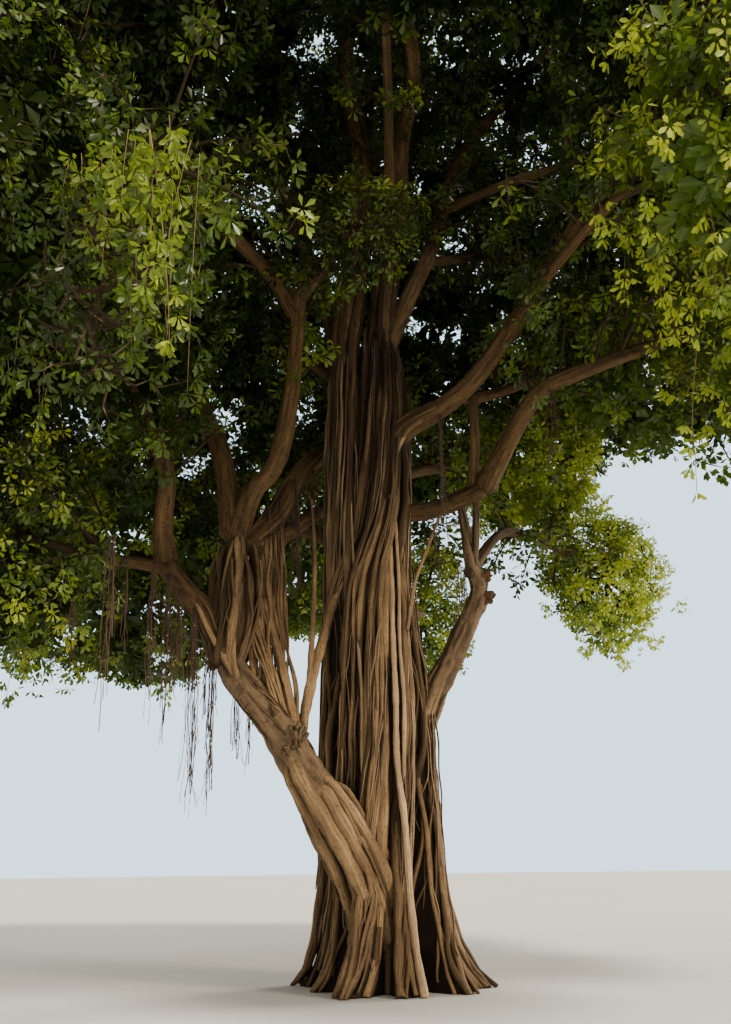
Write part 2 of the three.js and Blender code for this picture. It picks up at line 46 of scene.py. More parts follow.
# A shape's last field holds each point's darkening from 0 to 1, by painted shade and by grime
Shape = namedtuple("Shape", "points faces run dirt")
Strands = namedtuple("Strands", "count thick wander low high inset sides steps seed")
Blade = namedtuple("Blade", "half_width leaves outline")
Level = namedtuple("Level", "count shares turn first steps sag")
Crown = namedtuple("Crown", "boughs twigs hanging innermost leaves")

# Camera: a walker's eye in front of the tree, looking up into the crown
FRAME_HEIGHT = 1024
EYE = (-0.35, -14.5, 1.5)
LOOK_UP = np.radians(18.5)
LEAN = np.radians(0.65)
FOCAL_PIXELS = 1050
SENSOR = 36.0
FARTHEST = 400

# Steps between two points that a curve passes, the spacing of the rings of a limb's bark, and
# the points round a ring of a thick limb and of a thin one
CURVE_STEPS = 24
RING_SPACING = 0.04
THICK_LIMB = 0.15
THICK_LIMB_SIDES = 34
LIMB_SIDES = 22

# Trunk: the axis leans a little and leaves its foot almost straight up
TRUNK_AXIS = [
    (-0.06, 0, 0), (-0.15, 0, 1.05), (-0.21, 0, 3), (-0.31, 0.02, 5), (-0.11, 0.12, 6.4), (-0.05, 0.2, 8.2),
    (-0.1, 0.3, 9.6),
]
TRUNK_RADIUS_AT = [
    (0, 0.98), (0.2, 0.86), (0.5, 0.77), (1.1, 0.7), (2, 0.665), (3, 0.645), (4, 0.61), (5, 0.545),
    (6, 0.38), (7.3, 0.32), (8.5, 0.3), (9.6, 0.285),
]
TRUNK_FLUTES = 9
FLUTE_DEPTH = 0.1
ROOT_FLARE_DEPTH = 0.16
ROOT_FLARE_HEIGHT = 0.9
FLUTE_TWIST = 0.16
BROAD_LOBES = 4
LOBE_SHARE = 0.6
LOBE_TURN = 1.3

# The trunk's second column, beside the first one and one with it below its gap, and how many
# ridges it and the bundle of roots have
LEFT_COLUMN_WAY = [
    (-0.42, 0.02, 3.3), (-0.6, 0.06, 5), (-0.66, 0.12, 6.4), (-0.67, 0.2, 8.2), (-0.64, 0.26, 9.5),
]
LEFT_COLUMN_RADIUS = [0.33, 0.26, 0.225, 0.21]
LEFT_COLUMN_RIDGES = 7
BUNDLE_RIDGES = 5

# The columns' cores, painted dark as the shade between their roots: their roughness and
# painted shade, and how far and how much they draw in on top
CORE_ROUGHNESS = 0.03
CORE_SHADE = 0.85
CORE_TOP = 0.8
CORE_TOP_SHARE = 0.45

# The prop root, from the trunk down to the leaning stem: points that it passes and its radii
PROP_ROOT = [
    ([(-0.6, -0.12, 5.5), (-0.84, -0.3, 4.83), (-1.1, -0.7, 3.7), (-1.22, -1.0, 2.95)], 0.055, 0.075),
]

# Leaf masses: the middle and half-widths of the space that each one fills, its leaves' length,
# the density of its twigs and its tone of painted light, from 0, deep in painted shade, to 1,
# lime in painted sunlight
FAR_LEAF = 0.155
PLAIN_TONE = 0.38
MASSES = {
    "leaves_low_left": Mass((-6.5, -1.3, 6.15), (3.1, 3, 3), 0.115, 1.4, 0.52),
    "leaves_low_back_left": Mass((-4.9, 3.9, 6.75), (3.05, 2.9, 2.75), 0.13, 1.35, 0.62),
    "leaves_low_back": Mass((-1.9, 5.7, 8), (2.8, 2.6, 2.85), 0.13, 1.45, 0.72),
    "leaves_low_back_middle": Mass((0.7, 5.6, 6.15), (1.15, 1.4, 1.8), 0.11, 2.2, 0.75),
    "leaves_low_back_right": Mass((2.9, 4.3, 8.7), (1.9, 2.1, 2.15), 0.115, 2.2, 0.92),
    "leaves_drooping_right": Mass((3.8, 3.4, 6.25), (1.3, 1.45, 1.55), 0.105, 3.2, 0.95),
    "leaves_low_right": Mass((6.2, -2.3, 8.75), (3.1, 3.1, 2.35), 0.115, 1.35, 0.78),
    "leaves_right_back": Mass((5.5, 1.8, 9.8), (3, 3.05, 2.6), FAR_LEAF, 1, 0.64),
    "leaves_low_front_right": Mass((4.3, -6, 8.5), (2.6, 2.6, 2.2), 0.112, 1.25, 0.8),
    "leaves_low_front_left": Mass((-5.2, -5.2, 8.4), (3.1, 3, 2.4), 0.112, 1.25, 0.34),
    "leaves_inner_left": Mass((-4, -2.3, 8.7), (2.2, 2.05, 2), 0.11, 1.4, 0.14),
    "leaves_hanging": Mass((-2.65, -6.4, 6.3), (0.8, 0.78, 1.5), 0.11, 0.5, 0.4),
    "leaves_middle_left": Mass((-6.3, 1, 11.6), (3.2, 3.5, 2.9), FAR_LEAF, 0.85, PLAIN_TONE),
    "leaves_middle_back_left": Mass((-3.7, 5, 11.9), (3.6, 3.2, 3.4), FAR_LEAF, 1.05, 0.26),
    "leaves_middle_back": Mass((0.9, 5.8, 11.3), (3.5, 3, 3.4), 0.145, 1.5, 0.36),
    "leaves_middle_back_right": Mass((4.6, 4.5, 13.2), (3.4, 3.3, 3), FAR_LEAF, 1, PLAIN_TONE),
    "leaves_middle_right": Mass((6.3, -0.4, 13.2), (3.2, 3.5, 2.85), FAR_LEAF, 0.85, PLAIN_TONE),
    "leaves_middle_front_right": Mass((4.4, -4.4, 12.4), (3.5, 3.3, 2.8), 0.13, 1, 0.42),
    "leaves_middle_front": Mass((0, -6.1, 12.7), (3.5, 3, 2.5), 0.14, 1, 0.3),
    "leaves_middle_front_left": Mass((-4.4, -4.3, 12.3), (3.5, 3.4, 2.75), 0.13, 1, 0.26),
    "leaves_upper_left": Mass((-4, 0.7, 15.8), (3.6, 3.7, 2.85), FAR_LEAF, 1.05, PLAIN_TONE),
    "leaves_upper_back": Mass((0.1, 4, 15.8), (3.6, 3.5, 2.9), FAR_LEAF, 0.85, PLAIN_TONE),
    "leaves_upper_right": Mass((3.8, 0.8, 16.4), (3.5, 3.7, 2.8), FAR_LEAF, 0.8, PLAIN_TONE),
    "leaves_upper_front": Mass((0, -3.2, 16.4), (3.8, 3.5, 2.8), FAR_LEAF, 1, PLAIN_TONE),
    "leaves_top": Mass((-0.1, 0.6, 18.5), (3.6, 3.5, 2.35), FAR_LEAF, 0.85, PLAIN_TONE),
    "leaves_inner_front": Mass((-0.4, -1.9, 9.9), (1.15, 0.9, 0.95), 0.105, 1.5, 0.42),
}

# Stems and boughs: points that each one passes, radii spread evenly along it, and the leaf mass
# that it grows into
LIMBS = {
    "left_stem": Limb([
        (-0.25, -0.15, 0.35), (-0.33, -0.3, 0.95), (-0.52, -0.59, 1.5), (-0.79, -0.82, 2),
        (-1.08, -0.95, 2.47), (-1.36, -1, 2.93), (-1.71, -0.92, 3.43), (-2.06, -0.82, 3.85),
        (-2.23, -0.8, 4.15),
    ], [0.33, 0.32, 0.27, 0.205, 0.185]),
    "left_bough": Limb([
        (-2.16, -0.82, 3.95), (-2.5, -0.8, 4.65), (-2.77, -0.9, 4.98), (-3.04, -1, 5.37),
    ], [0.17, 0.145]),
    "left_bough_rise": Limb([
        (-3.01, -0.99, 5.3), (-3.07, -1.1, 5.76), (-3.02, -1.3, 6.4), (-3.13, -1.6, 6.86),
    ], [0.145, 0.12, 0.095], "leaves_inner_left"),
    "left_bough_low": Limb([
        (-2.98, -0.99, 5.26), (-3.54, -1.1, 5.33), (-3.98, -1.2, 5.38),
    ], [0.085, 0.065], "leaves_low_left"),
    "left_root_bundle": Limb([
        (-2.19, -0.8, 3.98), (-2.11, -0.74, 4.7), (-2.15, -0.62, 5.9),
    ], [0.215, 0.29, 0.27, 0.2]),
    "middle_left_bough": Limb([
        (-2.17, -0.62, 5.7), (-1.93, -0.7, 6.39), (-1.61, -0.8, 6.79), (-1.4, -0.9, 7.74), (-1.3, -1, 8.63),
        (-1.25, -1.15, 9.22),
    ], [0.145, 0.125, 0.095], "leaves_inner_front"),
    "left_fork_bough": Limb([
        (-2.2, -0.62, 5.75), (-2.28, -0.55, 6.37), (-2.39, -0.45, 6.97), (-2.57, -0.3, 7.5), (-3.3, 0.2, 9),
    ], [0.15, 0.14, 0.11, 0.08], "leaves_middle_left"),
    "upper_left_bough": Limb([
        (-1.29, -1.05, 8.95), (-1.68, -1.3, 9.52), (-2.36, -2.2, 9.84), (-2.97, -3, 10.21),
    ], [0.105, 0.08], "leaves_middle_front_left"),
    "front_left_bough": Limb([
        (-2.66, -2.6, 10.02), (-3.3, -3.5, 9.85),
    ], [0.07, 0.055], "leaves_low_front_left"),
    "hanging_bough": Limb([
        (-2.36, -2.2, 9.84), (-2.45, -3.7, 9.6), (-2.53, -5.2, 8.8),
    ], [0.06, 0.038], "leaves_hanging"),
    "cross_bough": Limb([
        (-2.1, -0.6, 5.6), (-1.69, -0.1, 6.24), (-1.4, 0.4, 7.01), (-1.03, 0.9, 7.61), (-0.26, 1.7, 8.36),
        (0.2, 2.8, 9.2),
    ], [0.165, 0.11], "leaves_middle_back"),
    "cross_bough_low": Limb([
        (-2, -0.56, 5.48), (-1.5, 0.1, 6.08), (-1, 0.9, 6.7), (-0.9, 2.2, 7.1),
    ], [0.125, 0.08], "leaves_low_back"),
    "right_bough": Limb([
        (-0.05, 0.15, 6.38), (0.59, 0, 6.37), (1.02, -0.1, 6.49), (1.37, -0.21, 6.64),
    ], [0.12, 0.135]),
    "right_bough_rise": Limb([
        (1.35, -0.2, 6.56), (1.56, -0.3, 6.97), (1.8, -0.42, 7.42), (2.18, -0.7, 7.9), (2.65, -1.02, 8.02),
        (3.24, -1.4, 8.13),
    ], [0.15, 0.12, 0.095], "leaves_low_right"),
    "right_upright": Limb([(1.18, -0.14, 6.5), (1.25, -0.24, 7.2), (1.27, -0.4, 8.06)], [0.078, 0.068]),
    "right_stem": Limb([
        (0.1, 0, 2.6), (0.51, 0, 3.62), (0.88, 0, 4.31), (1.23, 0, 5.09), (1.14, -0.05, 5.59),
        (1.01, -0.1, 6.49),
    ], [0.2, 0.165, 0.14, 0.115, 0.05]),
    "low_right_bough": Limb([
        (1.18, 0, 5.5), (1.8, 0.9, 6.3), (2.7, 1.9, 6.35),
    ], [0.08, 0.055], "leaves_drooping_right"),
    "back_right_bough": Limb([
        (-0.02, 0.18, 6.9), (0.7, 1.3, 7.5), (1.5, 2.2, 7.9),
    ], [0.095, 0.065], "leaves_low_back_right"),
    "middle_right_bough": Limb([
        (-0.05, 0.15, 7.05), (0.21, 0, 7.6), (0.76, -0.3, 7.85), (1.21, -0.56, 8.13), (1.77, -0.9, 8.81),
        (2.25, -1.4, 9.4), (2.75, -2.15, 9.95),
    ], [0.155, 0.13, 0.1], "leaves_middle_front_right"),
    "middle_right_fork": Limb([
        (1, -0.43, 7.96), (1.5, 0, 8.18), (2.55, 0.7, 8.85),
    ], [0.09, 0.065], "leaves_right_back"),
    "front_right_bough": Limb([
        (1.77, -0.9, 8.81), (2.3, -2.5, 9.05), (2.7, -3.8, 9),
    ], [0.08, 0.058], "leaves_low_front_right"),
    "back_left_bough": Limb([
        (-0.35, 0.2, 5.6), (-1.3, 1.3, 6.5), (-2.4, 2.3, 6.75),
    ], [0.135, 0.085], "leaves_low_back_left"),
    "back_bough": Limb([
        (-0.25, 0.15, 4.3), (0.15, 1.5, 5.2), (0.55, 3, 5.5),
    ], [0.1, 0.06], "leaves_low_back_middle"),
    "left_leader": Limb([
        (-0.64, 0.25, 9.3), (-0.4, 0.3, 11.2), (-0.36, 0.35, 12.7), (-0.6, 0.45, 15),
    ], [0.215, 0.12], "leaves_top"),
    "right_leader": Limb([
        (-0.1, 0.3, 9.4), (0.15, 0.15, 11.2), (0.3, 0, 12.7), (0.5, -0.5, 13.6),
    ], [0.2, 0.12], "leaves_upper_front"),
    "outer_right_leader": Limb([
        (-0.06, 0.25, 8.9), (0.68, 0.6, 10.88), (1.03, 0.9, 12.08), (1.5, 1.1, 13.5),
    ], [0.15, 0.095], "leaves_upper_right"),
    "outer_left_leader": Limb([
        (-0.66, 0.22, 8.9), (-1.25, 0.6, 10.95), (-1.67, 0.8, 12.22), (-2, 0.9, 13.3),
    ], [0.14, 0.09], "leaves_upper_left"),
    "back_left_leader": Limb([
        (-0.64, 0.22, 8.5), (-1.4, 1.5, 9.6), (-2.2, 2.7, 10.3),
    ], [0.11, 0.075], "leaves_middle_back_left"),
    "back_right_leader": Limb([
        (0.68, 0.6, 10.88), (1.7, 1.8, 11.7), (2.5, 2.7, 12.2),
    ], [0.085, 0.065], "leaves_middle_back_right"),
    "right_leader_branch": Limb([
        (1.03, 0.9, 12.08), (2.2, 0.5, 12.35), (3.3, 0.2, 12.55),
    ], [0.085, 0.062], "leaves_middle_right"),
    "front_leader": Limb([
        (0.13, 0.15, 11.1), (0.06, -1.4, 11.8), (0, -3.1, 12.1),
    ], [0.085, 0.062], "leaves_middle_front"),
    "back_leader": Limb([
        (-0.37, 0.32, 12), (-0.3, 1.1, 13), (-0.2, 1.7, 13.7),
    ], [0.09, 0.065], "leaves_upper_back"),
}

# An aerial root curtain between the crossing boughs and the leaning stem
CURTAIN_TOP = [(-1.93, -0.56, 5.6), (-1.54, -0.2, 6.08)]
CURTAIN_FOOT = [(-1.9, -0.87, 3.68), (-1.36, -0.96, 3.05)]
CURTAIN_ROOTS = 44

# Roots that run together from the bundle's foot to the leaning stem
FAN_TOP = [(-2.08, -0.86, 4.7), (-1.62, -0.5, 5.0)]
FAN_FOOT = [(-1.42, -1.02, 3.2), (-1.2, -1.0, 3.02)]
FAN_ROOTS = 22

# Rule of growth, as for the limbs: shares of a mass's reach and counts on a golden-angle spiral.
# Each level has its count (the twigs' is per square metre), shares, its turn on the spiral, the
# point of its parents that it may first spring from, its steps and its sag
SPACE_MARGIN = 0.035
LIMB_END = 0.96
LAST_STRETCH = 0.06
GOLDEN_ANGLE = np.pi * (3 - np.sqrt(5))
SPINE_STEPS = 16
BRANCHES = Level(12, (0.42, 0.62), 0, 5, 9, 0.05)
BOUGHLETS = Level(60, (0.6, 0.84), 31, 3, 7, 0.06)
TWIGS = Level(7.4, (0.5, 0.97), 57, 2, 4, 0.08)
BOUGHLET_RADII = (0.02, 0.01)
SIDE_BRANCH_RADII = (0.026, 0.009)
HANGING_RADII = (0.0045, 0.003)
TWIG_RADIUS = 0.009
SHOOT_RADIUS = 0.008
LIMB_CLEARANCE = 0.12
LIMB_SAMPLES = 40
PETIOLE = 0.024

# Whorls: the place of each along its twig, and how far off to its side
WHORLS_ON_TWIG = ((1.0, 0.0), (0.8, 0.11), (0.6, 0.11), (0.4, 0.11))
WHORLS_ON_SHOOT = ((1.0, 0.0), (0.75, 0.09), (0.5, 0.1), (0.25, 0.1))
WHORLS_ON_BOUGHLET = ((0.9, 0.2), (0.7, 0.3), (0.5, 0.35), (0.3, 0.35))
WHORLS_AT_FORK = ((0.05, 0.12),)

# The trunk's gorges: how far they cut in, as a share of its radius, how dark they are painted
# as shade, and the heights between which this painted shade comes in
GORGE_DEPTH = 0.25
GORGE_SHADE = 0.95
GORGE_SHADE_FROM = -1.0
GORGE_SHADE_FULL = 3.6

# The columns' roots are painted darker by this much between these heights, as the crown's shade
CROWN_SHADE_FROM = 5.4
CROWN_SHADE_TO = 7.8
CROWN_SHADE = 0.42

# Depths of the relief on a limb's bark, as shares of its radius, and how far its foot spreads
SINEW_DEPTH = 0.06
SWELLING_DEPTH = 0.07
LUMP_DEPTH = 0.02
RING_DEPTH = 0.012
FOOT_SPREAD = 0.3

# Bark that is rougher or smoother than plain: share of the full relief
ROUGH_LIMBS = {"left_stem": 0.9, "right_stem": 2.0, "right_bough": 0.9, "left_bough": 0.8}
PLAIN_ROUGHNESS = 0.6

# Knots and scars: distance along the limb, the way that it faces, its height and its width
KNOTS = {
    "left_stem": [
        (3.05, (0.5, -0.55, 0.7), 0.07, 0.16),
        (3.6, (0.3, -1, 0.2), 0.03, 0.08),
        (2.55, (-0.4, -1, 0.2), 0.03, 0.07),
        (3.9, (-0.5, -0.9, 0), 0.04, 0.08),
        (2.1, (0.1, -1, 0.1), 0.025, 0.07),
        (1.6, (-0.2, -1, 0.2), 0.03, 0.08),
        (3.3, (-0.6, -0.8, -0.1), 0.03, 0.07),
    ],
    "right_stem": [
        (2.62, (0.9, -0.4, 0), 0.07, 0.12),
        (2.95, (0.95, -0.3, 0), 0.06, 0.1),
        (1.65, (-0.1, -1, 0.1), 0.045, 0.075),
        (1.25, (-0.2, -1, 0), 0.05, 0.085),
        (0.85, (0.3, -1, 0), 0.04, 0.09),
        (3.3, (-0.4, -0.9, 0), 0.03, 0.08),
        (2.1, (0.3, -0.9, 0), 0.03, 0.08),
    ],
    "right_bough": [(1.35, (0.4, -0.6, -0.7), 0.05, 0.11)],
    "left_bough": [(0.15, (-0.3, -0.9, -0.2), 0.05, 0.1), (1.2, (0.2, -1, -0.3), 0.04, 0.09)],
    "middle_left_bough": [(3.4, (-0.4, -1, 0), 0.04, 0.09)],
}

# The right stem's outer arm, and torn stubs of lost branches: where each sits, the way that it
# points, its length and how many splinters stand out of it
RIGHT_ARM = [(1.13, -0.06, 5.3), (1.21, -0.12, 5.8), (1.24, -0.16, 6.2), (1.26, -0.15, 6.58)]
RIGHT_ARM_RADIUS = [0.09, 0.055, 0.04]
TORN_STUBS = [
    ((1.3, -0.05, 5.34), (1, -0.3, 0.2), 0.1, 60),
    ((1.33, -0.04, 5.04), (1, -0.3, -0.1), 0.11, 60),
]
TORN_FOOT = [
    ((-1.23, -1.2, 3.0), (0.25, -0.5, 0.9), 0.2, 20),
    ((-1.33, -1.2, 2.83), (-0.5, -0.8, -0.2), 0.1, 20),
]

# How far along a limb the painted shade at its foot and the painted shade at its end reach
PLAIN_DARK_ENDS = (0.3, 0.3)
DARK_ENDS = {
    "left_leader": (3.0, 0.3), "right_leader": (3.0, 0.3), "outer_right_leader": (2.5, 0.3),
    "outer_left_leader": (2.5, 0.3), "right_stem": (0.3, 1.2), "right_bough": (0.5, 0.5),
    "middle_right_bough": (1.2, 0.3),
}

# How far the leaders' bark runs on down among the columns' roots
ROOTED_LEADERS = {
    "left_leader": 1.3, "right_leader": 1.3, "outer_right_leader": 0.6, "outer_left_leader": 0.5,
}

# Aerial roots fused to the columns
TRUNK_STRANDS = [
    Strands(36, (0.03, 0.064), 0.045, (0, 0), (7.9, 9.5), (-0.6, 0.6), 8, 96, 3),
    Strands(76, (0.014, 0.032), 0.05, (0, 0.5), (5.0, 9.4), (-0.1, 1.9), 6, 80, 4),
    Strands(64, (0.02, 0.042), 0.05, (0, 0), (1.7, 3.8), (-0.3, 0.7), 6, 34, 10),
]
TRUNK_FINE_STRANDS = [
    Strands(150, (0.006, 0.013), 0.075, (0, 3), (2.5, 9.4), (1.5, 6.5), 4, 66, 5),
]
LEFT_COLUMN_STRANDS = [
    Strands(18, (0.028, 0.055), 0.07, (3.4, 4.3), (8.3, 9.4), (-0.5, 0.3), 8, 80, 6),
    Strands(44, (0.009, 0.022), 0.12, (3.5, 5.5), (6.5, 9.3), (0.2, 2.6), 5, 70, 7),
]
BUNDLE_STRANDS = [
    Strands(14, (0.03, 0.06), 0.16, (3.9, 4.05), (5.5, 5.85), (-0.4, 0.3), 8, 46, 8),
    Strands(30, (0.009, 0.022), 0.3, (3.85, 4.2), (5.0, 5.85), (0.3, 2.6), 5, 46, 9),
]

# Aerial roots that cling to stems and boughs; their distances run from each one's foot
LIMB_STRANDS = {
    "left_stem": [
        Strands(9, (0.07, 0.1), 0.1, (0, 0.2), (2.2, 2.95), (0.0, 0.35), 10, 60, 29),
        Strands(16, (0.015, 0.03), 0.2, (0, 0.6), (1.2, 2.9), (1.4, 2.4), 6, 44, 21),
        Strands(26, (0.008, 0.02), 0.5, (2.7, 3.6), (3.3, 4.5), (0.1, 1.2), 4, 30, 22),
    ],
    "right_stem": [Strands(12, (0.015, 0.04), 0.25, (0, 0.5), (0.8, 1.9), (-0.4, 0.5), 6, 40, 23)],
    "left_leader": [Strands(11, (0.03, 0.06), 0.12, (0, 0.05), (2.0, 4.4), (-0.5, 0.1), 7, 60, 24)],
    "right_leader": [Strands(10, (0.03, 0.06), 0.12, (0, 0.05), (2.0, 4.3), (-0.5, 0.1), 7, 60, 25)],
    "cross_bough": [Strands(9, (0.01, 0.025), 0.3, (0, 0.4), (1.4, 3.0), (-0.2, 0.6), 5, 40, 26)],
    "middle_right_bough": [Strands(8, (0.02, 0.04), 0.2, (0, 0.1), (0.7, 1.6), (-0.4, 0.2), 6, 30, 27)],
    "left_bough": [Strands(9, (0.008, 0.02), 0.4, (0, 0.3), (0.8, 1.6), (0, 1.0), 4, 30, 28)],
}

# Free roots: points that each passes, and its radius from end to end
LONE_ROOTS = [
    ([
        (-1.3, 0.65, 7.15), (-1.14, 0.3, 6.5), (-1.07, -0.3, 5.2), (-1.12, -0.88, 3.6), (-1.2, -1.02, 2.95),
    ], 0.014, 0.048),
    ([(-2.6, -0.93, 4.8), (-2.42, -1.0, 4.42), (-2.22, -1.0, 4.08), (-2.0, -0.95, 3.68)], 0.03, 0.05),
    ([(-2.22, -0.74, 5.4), (-2.17, -0.95, 4.6), (-2.12, -1.0, 4.05), (-2.0, -0.92, 3.62)], 0.02, 0.034),
    ([(-1.96, -0.7, 5.5), (-2.03, -0.93, 4.8), (-2.08, -1.01, 4.05), (-1.95, -0.98, 3.6)], 0.018, 0.036),
    ([
        (0.8, -0.03, 6.42), (0.7, -0.08, 6.2), (0.53, -0.18, 5.75), (0.33, -0.32, 5.2), (0.2, -0.45, 4.5),
    ], 0.02, 0.028),
]

# Tan roots on the trunk's front, in a lighter bark that paints in the light that they catch
TAN_ROOTS = [
    ([
        (0.3, -0.06, 7.62), (0.12, -0.12, 7.25), (0.0, -0.13, 6.8), (-0.02, -0.2, 6.16), (0.0, -0.42, 5.23),
        (0.0, -0.56, 4.36), (0.02, -0.62, 3.54), (0.02, -0.64, 2.76), (0.1, -0.66, 2.0), (0.14, -0.72, 1.2),
        (0.2, -0.86, 0.5), (0.28, -1.1, 0.0),
    ], 0.03, 0.05),
    ([
        (0.16, -0.1, 7.35), (0.07, -0.12, 6.9), (0.08, -0.22, 6.1), (0.1, -0.46, 5.2), (0.09, -0.56, 4.3),
        (0.13, -0.6, 3.5), (0.11, -0.61, 2.7), (0.13, -0.4, 2.1),
    ], 0.018, 0.03),
    ([
        (-0.55, -0.02, 6.75), (-0.55, -0.2, 6.17), (-0.51, -0.36, 5.25), (-0.47, -0.54, 4.36),
        (-0.42, -0.62, 3.54), (-0.42, -0.64, 2.76), (-0.36, -0.64, 1.9), (-0.34, -0.4, 1.3),
    ], 0.01, 0.04),
]

# Tufts of hair-like roots: where each hangs from, its length, spread, count and thickness
HAIR_TUFTS = [
    ((-3.4, -2.4, 5.3), 2.4, 0.05, 12, 0.0065), ((-3.3, -2.0, 5.0), 1.3, 0.04, 6, 0.006),
    ((-3.12, -1.3, 5.3), 1.9, 0.07, 14, 0.006), ((-2.95, -1.15, 5.15), 2.2, 0.05, 16, 0.006),
    ((-2.8, -1.1, 4.95), 1.4, 0.06, 12, 0.006), ((-2.61, -0.97, 4.72), 2.5, 0.05, 18, 0.0065),
    ((-2.45, -0.95, 4.5), 1.2, 0.05, 10, 0.006), ((-2.36, -0.92, 4.35), 2.3, 0.045, 16, 0.0065),
    ((-2.05, -0.97, 3.65), 1.0, 0.07, 12, 0.0055), ((-1.86, -1.0, 3.45), 0.8, 0.06, 10, 0.0055),
    ((-3.92, -2.0, 4.6), 1.0, 0.05, 6, 0.006), ((1.0, 0.4, 5.75), 1.25, 0.04, 9, 0.006),
    ((1.1, 0.35, 5.6), 0.85, 0.04, 7, 0.006), ((-1.74, -0.35, 6.3), 2.0, 0.06, 22, 0.008),
    ((-1.58, -0.2, 6.5), 2.3, 0.06, 20, 0.008), ((-1.4, 0.1, 6.9), 1.9, 0.08, 16, 0.007),
    ((-1.15, 0.5, 7.2), 1.6, 0.08, 12, 0.007), ((0.62, -0.1, 6.4), 1.5, 0.05, 6, 0.006),
    ((2.3, -0.85, 7.9), 1.3, 0.06, 8, 0.006), ((0.75, -0.35, 7.75), 2.1, 0.06, 10, 0.006),
]

# Sides on which a mass is pared down: a way, in shares of its reach, and how far out along it its
# twigs may stand
PARED = {
    "leaves_drooping_right": [((1, 0, 1), 1.1), ((-1, 0, -1), 1.0)],
    "leaves_low_back_right": [((1, 0, -0.4), 0.68), ((-0.3, 0.3, -1), 0.78)],
    "leaves_low_right": [((0, 0.5, -1), 0.95)],
    "leaves_right_back": [((0.25, 0.45, -1), 0.7)],
}
PARED_ROUGHNESS = 0.16

# Large leaves deep inside the masses, painted near-black as the shade there: their size, how
# far out they may sit, and how clear of a pared side they stay. From the sunlit tone up, they
# are a step of tone darker than the rest, with less painted light
INNER_LEAF = 2.35
INNERMOST = 0.8
INNER_MARGIN = 0.22
SUNLIT_TONE = 0.6
INNER_SHADE = 0.2

# Masses without such leaves, so that light comes through them
OPEN_MASSES = ("leaves_drooping_right", "leaves_low_back_middle", "leaves_hanging", "leaves_inner_front")

# Loose twigs in the gaps between masses, behind the leaders and high up in front, how near two
# masses they lie, and masses that they keep away from
LOOSE_MASSES = OPEN_MASSES + ("leaves_low_back_right",)
GAP_CORNERS = [(-8.0, -8.0, 6.8), (8.0, 7.0, 19.0)]
GAP_BACK = -1.5
GAP_SLOPE = 1.05
GAP_SHARES = (0.9, 1.25)
GAP_TRIES = 44000
GAP_LEAF = 1.1 * FAR_LEAF

# How far a mass's own bough runs on towards its middle, where its twigs stand, how deep the
# lobes of its outline are, and how far its twigs draw together
PLAIN_SPINE = 1.05
SPINE_REACH = {"leaves_hanging": 1.85}
TWIG_SHARES = {"leaves_hanging": (0.2, 1.0)}
PLAIN_RAGGEDNESS = 0.09
RAGGEDNESS = {
    "leaves_drooping_right": 0.2, "leaves_low_back_right": 0.15, "leaves_low_back_left": 0.17,
    "leaves_low_left": 0.14,
}
CLUMPING = 0.3

# Boughs that bear side branches with leafy shoots: where along each they start, in sixtieths of
# its length, and how many there are
SIDE_BRANCHES = {
    "middle_left_bough": (34, 10), "upper_left_bough": (8, 12), "hanging_bough": (4, 12),
    "left_fork_bough": (34, 10), "left_bough_rise": (28, 10), "left_bough_low": (24, 10),
    "right_bough_rise": (28, 12), "middle_right_bough": (30, 14), "middle_right_fork": (12, 10),
    "front_right_bough": (10, 10), "low_right_bough": (25, 10), "back_right_bough": (20, 10),
    "left_leader": (14, 10), "right_leader": (14, 10), "outer_right_leader": (14, 12),
    "outer_left_leader": (14, 14), "right_leader_branch": (6, 12), "front_leader": (30, 5),
    "back_leader": (6, 12), "back_left_leader": (12, 14), "back_right_leader": (8, 14),
    "cross_bough": (28, 10), "cross_bough_low": (30, 6), "back_left_bough": (25, 10),
}
BRANCH_LENGTHS = (0.6, 1.7)
BRANCH_LEAN = (0, 0.3, 0.2)
SHOOTS_ON_BRANCH = 5
SHOOT_LENGTHS = (0.18, 0.5)
SHOOT_LEAF = 0.135

# Pendulous sprays on a mass's under side: how many there are, and their longest drop
HANGING_SPRAYS = {
    "leaves_low_front_left": (46, 0.7), "leaves_low_front_right": (56, 0.55), "leaves_low_right": (40, 0.4),
    "leaves_middle_front_right": (20, 0.8), "leaves_middle_front_left": (20, 0.8),
    "leaves_low_left": (30, 0.45), "leaves_drooping_right": (14, 0.3), "leaves_low_back_right": (12, 0.3),
}
LONGEST_HANGING_LEAF = 0.13

# The bright sprays at the front left: from x, to x, their drop, how many and their whorls; their
# tops' place in depth and height, each with its scatter; and lone sprays, by points that they pass
FRONT_SPRAYS = [(-3.1, -2.5, 0.8, 8, 5), (-2.75, -1.9, 1.4, 6, 10), (-2.35, -1.8, 2.6, 8, 17)]
FRONT_SPRAY_DEPTH = (-6.4, 0.3)
FRONT_SPRAY_HEIGHT = (7.5, 0.12)
FRONT_TONE = 0.5
LONE_SPRAYS = [
    [(-2.26, -6.6, 7.81), (-2.17, -6.6, 7.27), (-2.09, -6.6, 6.76), (-2.02, -6.6, 6.16),
     (-1.98, -6.6, 5.69)],
    [(3.55, -4.2, 7.9), (3.38, -3.9, 6.9), (3.27, -3.8, 6.1), (3.26, -3.8, 5.7), (3.23, -3.8, 5.27)],
]
LONE_TONE = 0.9
SPRAY_LEAF = 0.115

